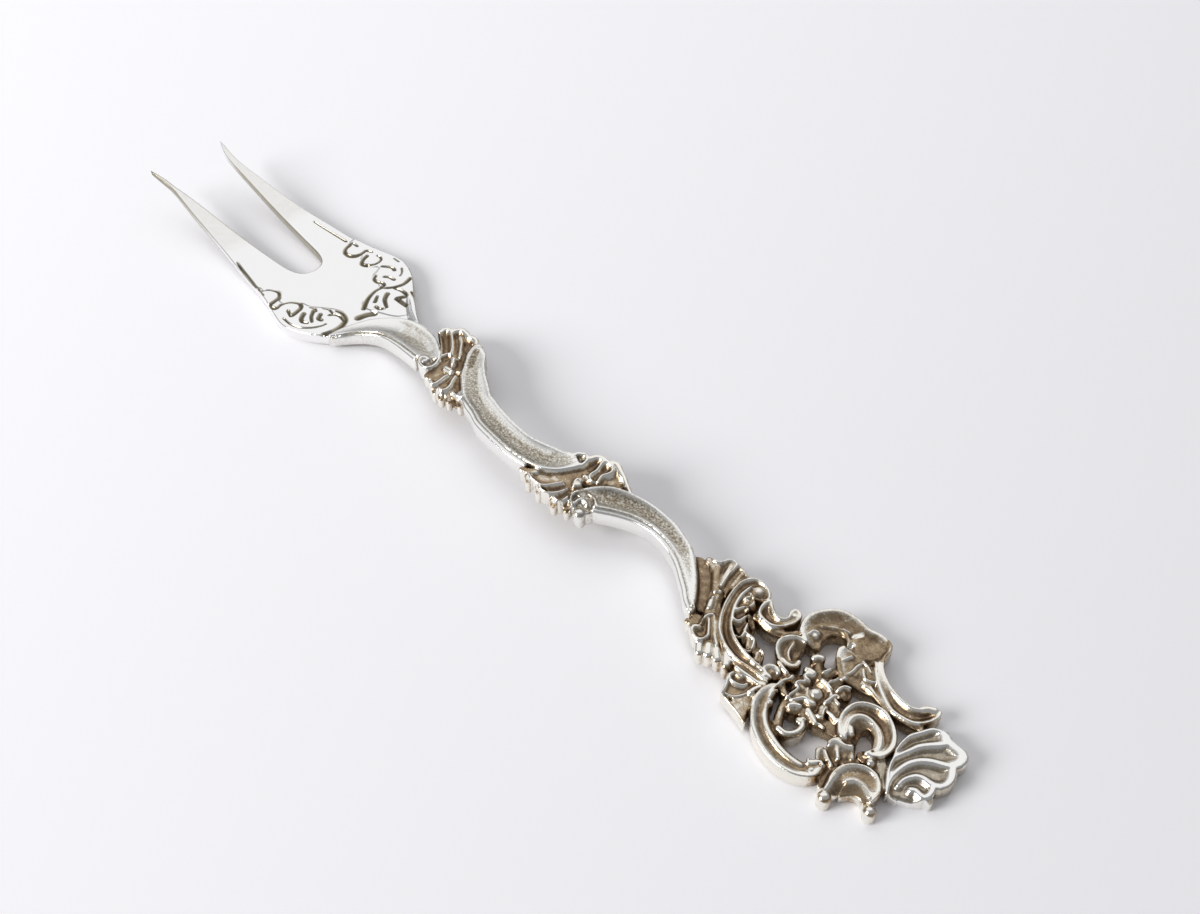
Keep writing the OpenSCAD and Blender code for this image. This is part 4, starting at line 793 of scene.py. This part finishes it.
# The highest node owns each cell, so that one scroll laps over the next
NODES = list(tops)
stack = np.stack([tops[n] for n in NODES])
cells = np.stack([middles(t) for t in stack]).argmax(0)
cells[middles(outline) >= 0] = -1
solid = cells >= 0
around = np.zeros(X.shape, int)
for di in (0, 1):
    for dj in (0, 1):
        around[di:di + solid.shape[0], dj:dj + solid.shape[1]] += solid
metal, inner = around > 0, around == 4
border = metal & ~inner

# Points on the outline are drawn onto it and evened out along it
MAX_MOVE, MIN_SLOPE = 0.1, 0.3
PULLS, EASES, HEIGHT_EASES, FILLS = 3, 3, 4, 3  # rounds
bi, bj = np.nonzero(border)
number = np.full(X.shape, -1)
number[bi, bj] = np.arange(len(bi))
px, py = GX[bi], GY[bj]
slope = np.gradient(outline, GX, GY)
for _ in range(PULLS):
    sx, sy = sampled(slope[0], px, py), sampled(slope[1], px, py)
    move = np.clip(sampled(outline, px, py), -MAX_MOVE, MAX_MOVE) / np.maximum(sx**2 + sy**2, MIN_SLOPE)
    px, py = px - move * sx, py - move * sy
padded = np.pad(solid, 1)
links = []
for here, there, di, dj in ((padded[1:, 1:-1], padded[:-1, 1:-1], 0, 1), (padded[1:-1, 1:], padded[1:-1, :-1], 1, 0)):
    i, j = np.nonzero(here != there)
    links.append(np.stack([number[i, j], number[i + di, j + dj]], 1))
links = np.concatenate(links)


def eased(values, rounds):
    """Values along the outline, evened out between neighbours."""
    for _ in range(rounds):
        total, count = np.zeros(len(values)), np.zeros(len(values))
        for a, b in (links.T, links.T[::-1]):
            np.add.at(total, a, values[b])
            np.add.at(count, a, 1)
        values = np.where(count == 2, values / 2 + total / np.maximum(count, 1) / 2, values)
    return values


PX, PY = X.copy(), Y.copy()
PX[bi, bj], PY[bi, bj] = eased(px, EASES), eased(py, EASES)

# Fillets in the creases of the carving, softened edges, and heights out to the outline; blurs in cells
MIN_STOCK = 0.3
CREASE_BLUR, FILLET_BLUR, CARVED_BLUR, HEAD_BLUR = 2.5, 2, 1.1, 0.7
FILLET_DROP = 0.04
height = np.maximum(stack.max(0), BACK + MIN_STOCK)
of_head = stack.argmax(0) == NODES.index("tine_head")
carved = metal & ~of_head
crease = blurred(height, metal, CREASE_BLUR) - height
height = np.where(carved, np.maximum(height, blurred(height, metal, FILLET_BLUR) - FILLET_DROP), height)
height = np.where(carved, blurred(height, metal, CARVED_BLUR), blurred(height, metal, HEAD_BLUR))
known = inner.copy()
for _ in range(FILLS):
    spread, count = np.zeros(X.shape), np.zeros(X.shape)
    for di in (-1, 0, 1):
        for dj in (-1, 0, 1):
            spread += np.roll(np.where(known, height, 0), (di, dj), (0, 1))
            count += np.roll(known, (di, dj), (0, 1))
    fill = metal & ~known & (count > 0)
    height[fill] = spread[fill] / count[fill]
    known |= fill
height[bi, bj] = eased(height[bi, bj], HEIGHT_EASES)
depth = np.where(border, 0, np.clip(-outline, 0, None))

# Tarnish of the top: more with the depth below the face, in hollows and in creases, where it is also painted shade
FACE_TARNISH, LOW_TARNISH, LOW_SCALE = 0.02, 0.52, 0.2
DEEP_TARNISH, DEEP_FROM = 0.18, 0.3
TIP_SHADE, TIPS_FROM, TIPS_FULL = 0.2, 27, 19
HOLLOW_BLUR = 6
relief = height - FACE
hollow = blurred(relief, metal, HOLLOW_BLUR) - relief
patina_and_painted_light = FACE_TARNISH + LOW_TARNISH * (1 - np.exp(np.minimum(relief, 0) / LOW_SCALE))
patina_and_painted_light = np.clip(patina_and_painted_light + DEEP_TARNISH * np.clip(-DEEP_FROM - relief, 0, 1) + hollow + crease, 0, 1)
# On the head: the cut lines, and painted shade that grows towards the tips of the tines
on_head = np.maximum(cut_tarnish_and_shade, TIP_SHADE * ramp(X, TIPS_FROM, TIPS_FULL))
patina_and_painted_light = np.where(of_head, on_head, np.clip(blurred(patina_and_painted_light, metal, 1) + extra_tarnish_and_light, 0, 1))

# Tarnish of the walls with painted shade: darker by the way they face, on the far and handle sides away from the
# window lamp, more where metal encloses them, and in the slot, where they stand for the shaded floor they mirror;
# darker still on the near tine
WALL_TARNISH, WALL_LEAST, WALL_MOST = 0.2, 0.03, 0.62
FAR_SIDE, HANDLE_SIDE = 0.2, 0.15
ENCLOSED_BLUR, ENCLOSED_FROM, ENCLOSED_GAIN = 20, 0.55, 3
SLOT_SHADE, SLOT_RAMP, SLOT_END, SLOT_MIDDLE, SLOT_HALF = 0.45, (1, 7), 33.5, -0.13, 5.7
NEAR_DARKENING, NEAR_ALONG, NEAR_ACROSS = 0.6, (22, 2), (-4.5, -5.8)
WALL_BLEND = 0.2
enclosed = blurred(metal.astype(float), np.ones_like(metal), ENCLOSED_BLUR)
wall_tarnish_and_shade = WALL_TARNISH + FAR_SIDE * slope[1] + HANDLE_SIDE * slope[0]
wall_tarnish_and_shade = np.clip(wall_tarnish_and_shade + ENCLOSED_GAIN * np.clip(enclosed - ENCLOSED_FROM, 0, 1), WALL_LEAST, WALL_MOST)
wall_tarnish_and_shade += SLOT_SHADE * ramp(X, *SLOT_RAMP) * ((X < SLOT_END) & (np.abs(Y - SLOT_MIDDLE) < SLOT_HALF))
wall_tarnish_and_shade += NEAR_DARKENING * ramp(X, *NEAR_ALONG) * ramp(Y, *NEAR_ACROSS)
patina_and_painted_light += (wall_tarnish_and_shade - patina_and_painted_light) * ramp(depth, WALL_BLEND, 0)

# Rounded edges of the top and of the back, less where the metal is thin
TOP_RADIUS, BACK_RADIUS = 0.16, 0.5
THIN_GAIN, EDGE_STOCK = 1.4, 0.35
thin = THICK / FULL_STOCK
height = np.maximum(height - rounded(depth, TOP_RADIUS) * np.minimum(thin * THIN_GAIN, 1), BACK + EDGE_STOCK * thin)
under = BACK + rounded(depth, BACK_RADIUS) * thin


def placed(name, data, place=(0, 0, 0), at=None):
    """A new object in the scene, turned to look at a point if one is given."""
    thing = bpy.data.objects.new(name, data)
    thing.location = Vector(place)
    if at is not None:
        thing.rotation_mode = "QUATERNION"
        thing.rotation_quaternion = (Vector(at) - thing.location).to_track_quat("-Z", "Y")
    bpy.context.collection.objects.link(thing)
    return thing


SHARP = math.radians(60)


def cast(node):
    """Closed mesh of one node, from its part of the height map."""
    mine = cells == NODES.index(node)
    framed = np.pad(mine, 1)
    corner = np.arange(X.size).reshape(X.shape)
    a, b, c, d = corner[:-1, :-1], corner[1:, :-1], corner[1:, 1:], corner[:-1, 1:]
    upper = np.stack([q[mine] for q in (a, b, c, d)], 1)
    sides = []
    for beyond, p, q in ((framed[1:-1, :-2], a, b), (framed[2:, 1:-1], b, c),
                         (framed[1:-1, 2:], c, d), (framed[:-2, 1:-1], d, a)):
        rim = mine & ~beyond
        sides.append(np.stack([p[rim], q[rim]], 1))
    sides = np.concatenate(sides)
    used = np.unique(upper)
    n = len(used)
    place = np.zeros(X.size, int)
    place[used] = np.arange(n)
    upper, sides = place[upper], place[sides]
    faces = np.concatenate([upper, upper[:, ::-1] + n,
                            np.stack([sides[:, 1], sides[:, 0], sides[:, 0] + n, sides[:, 1] + n], 1)])
    xy = [(PX.ravel()[used] - MIDDLE[0]) * MM, (PY.ravel()[used] - MIDDLE[1]) * MM]
    verts = np.concatenate([np.stack(xy + [z.ravel()[used] * MM], 1) for z in (height, under)])
    mesh = bpy.data.meshes.new("silver_" + node)
    mesh.from_pydata(verts.tolist(), [], faces.tolist())
    mesh.shade_smooth()
    mesh.set_sharp_from_angle(angle=SHARP)
    tarnish_and_light = np.concatenate([patina_and_painted_light.ravel()[used], wall_tarnish_and_shade.ravel()[used]])
    mesh.attributes.new("patina_and_painted_light", "FLOAT", "POINT").data.foreach_set("value", tarnish_and_light.astype(np.float32))
    return placed("silver_" + node, mesh)


def add(tree, kind, inputs=None, **values):
    """A new shader node, with values of its inputs and of its own."""
    node = tree.nodes.new(kind)
    for key, value in (inputs or {}).items():
        node.inputs[key].default_value = value
    for key, value in values.items():
        setattr(node, key, value)
    return node


FINE = 4.5  # scale of the fine grain against the coarse
GRAIN_LOW, GRAIN_HIGH = 0.6, 1.4  # range of the two grains together
BUMP = 0.6
CLEAN_TO, WORN_AT, DARK_FROM = 0.14, 0.42, 0.85  # amounts of tarnishing and painted light at which the colours stand


def silver(name, colours, gloss, grain, mottle, coarse):
    """Silver, tarnished in its hollows and carrying painted shade and highlights from the same attribute, with a cast
    grain: clean, worn and dark colours, roughness from clean to dark, height of the grain in mm, how much it speckles
    the tarnishing, and its scale."""
    mat = bpy.data.materials.new(name)
    mat.use_nodes = True
    tree = mat.node_tree
    link = tree.links.new
    bsdf = tree.nodes["Principled BSDF"]
    bsdf.inputs["Metallic"].default_value = 1.0
    where = add(tree, "ShaderNodeTexCoord")
    tarnish_and_light = add(tree, "ShaderNodeAttribute", attribute_name="patina_and_painted_light")
    mixed = add(tree, "ShaderNodeMath", operation="ADD")
    for k, (scale, detail) in enumerate(((coarse, 3), (FINE * coarse, 4))):
        noise = add(tree, "ShaderNodeTexNoise", {"Scale": scale, "Detail": detail})
        link(where.outputs["Object"], noise.inputs["Vector"])
        link(noise.outputs["Fac"], mixed.inputs[k])
    spread = add(tree, "ShaderNodeMapRange",
                 {"From Min": GRAIN_LOW, "From Max": GRAIN_HIGH, "To Min": 1 - mottle, "To Max": 1 + mottle})
    link(mixed.outputs[0], spread.inputs["Value"])
    amount = add(tree, "ShaderNodeMath", operation="MULTIPLY", use_clamp=True)
    link(tarnish_and_light.outputs["Fac"], amount.inputs[0])
    link(spread.outputs[0], amount.inputs[1])
    shades = add(tree, "ShaderNodeValToRGB")
    clean, worn, dark = [(*c, 1) for c in colours]
    first, last = shades.color_ramp.elements
    first.position, first.color = CLEAN_TO, clean
    last.position, last.color = DARK_FROM, dark
    shades.color_ramp.elements.new(WORN_AT).color = worn
    link(amount.outputs[0], shades.inputs["Fac"])
    link(shades.outputs["Color"], bsdf.inputs["Base Color"])
    rough = add(tree, "ShaderNodeMapRange", {"To Min": gloss[0], "To Max": gloss[1]})
    link(amount.outputs[0], rough.inputs["Value"])
    link(rough.outputs[0], bsdf.inputs["Roughness"])
    bump = add(tree, "ShaderNodeBump", {"Distance": grain * MM, "Strength": BUMP})
    link(mixed.outputs[0], bump.inputs["Height"])
    link(bump.outputs[0], bsdf.inputs["Normal"])
    return mat


BRIGHT = (0.92, 0.91, 0.88)
polished = silver("polished_silver", ((0.93, 0.92, 0.91), (0.55, 0.51, 0.42), (0.12, 0.10, 0.06)),
                  gloss=(0.14, 0.4), grain=0.003, mottle=0.12, coarse=900)
aged = silver("aged_silver", ((0.93, 0.9, 0.828), (0.42, 0.32, 0.205), (0.195, 0.132, 0.085)),
              gloss=(0.21, 0.36), grain=0.03, mottle=0.6, coarse=1200)
grained = silver("grained_silver", (BRIGHT, (0.52, 0.485, 0.41), (0.18, 0.138, 0.088)),
                 gloss=(0.2, 0.36), grain=0.016, mottle=1.1, coarse=4000)
shell = silver("shell_silver", (BRIGHT, (0.58, 0.525, 0.435), (0.33, 0.275, 0.205)),
               gloss=(0.18, 0.34), grain=0.03, mottle=0.5, coarse=1200)
FINISH = {"tine_head": polished, "shell_finial": shell,
          "neck_band": grained, "middle_band": grained, "lower_band": grained}
for node in NODES:
    piece = cast(node)
    piece.data.materials.append(FINISH.get(node, aged))
    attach(piece, "root")
    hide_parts(node)

# White paper under the fork
HALF = 3
floor_mesh = bpy.data.meshes.new("paper")
corners = [(-HALF, -HALF, 0), (HALF, -HALF, 0), (HALF, HALF, 0), (-HALF, HALF, 0)]
floor_mesh.from_pydata(corners, [], [(0, 1, 2, 3)])
floor = placed("paper", floor_mesh)
paper = bpy.data.materials.new("paper")
paper.use_nodes = True
sheet = paper.node_tree.nodes["Principled BSDF"]
sheet.inputs["Base Color"].default_value = (0.985, 0.977, 1.0, 1)
sheet.inputs["Roughness"].default_value = 0.9
floor_mesh.materials.append(paper)


def lamp(name, size, energy, place):
    """Data and place of a round soft light."""
    light = bpy.data.lights.new(name, "AREA")
    light.shape, light.size, light.energy = "DISK", size, energy
    return name, light, place


# Soft light from the lower left of the view, a fill from above and a room that is brighter on the far side
placed(*lamp("window", size=0.4, energy=4.5, place=(-0.2, -0.62, 0.36)), at=(0, 0, 0))
fill_light = placed(*lamp("fill", size=0.9, energy=1.18, place=(-0.32, 0.3, 0.3)))
fill_light.data.use_shadow = False

BRIGHT_WAY = (-0.5, 0.45, 0.74)
world = bpy.data.worlds.new("room")
bpy.context.scene.world = world
world.use_nodes = True
room = world.node_tree
sky = room.nodes["Background"]
towards = add(room, "ShaderNodeTexCoord")
facing = add(room, "ShaderNodeVectorMath", {1: BRIGHT_WAY}, operation="DOT_PRODUCT")
level = add(room, "ShaderNodeMapRange", {"From Min": 0.62, "From Max": 0.94, "To Min": 0.3, "To Max": 0.38})
room.links.new(towards.outputs["Generated"], facing.inputs[0])
room.links.new(facing.outputs["Value"], level.inputs["Value"])
room.links.new(level.outputs[0], sky.inputs["Strength"])
sky.inputs["Color"].default_value = (0.96, 0.97, 1.0, 1)

# Camera: above the handle end, looking along the fork
CAMERA_PLACE, CAMERA_AIM = (103.33, -77.39, 127.35), (13.88, 7.02, 0)
lens = bpy.data.cameras.new("camera")
lens.sensor_width, lens.lens, lens.clip_start = 36.0, 40.43, 0.01
bpy.context.scene.camera = placed("camera", lens, Vector(CAMERA_PLACE) * MM, Vector(CAMERA_AIM) * MM)
bpy.context.scene.view_settings.view_transform = "Standard"
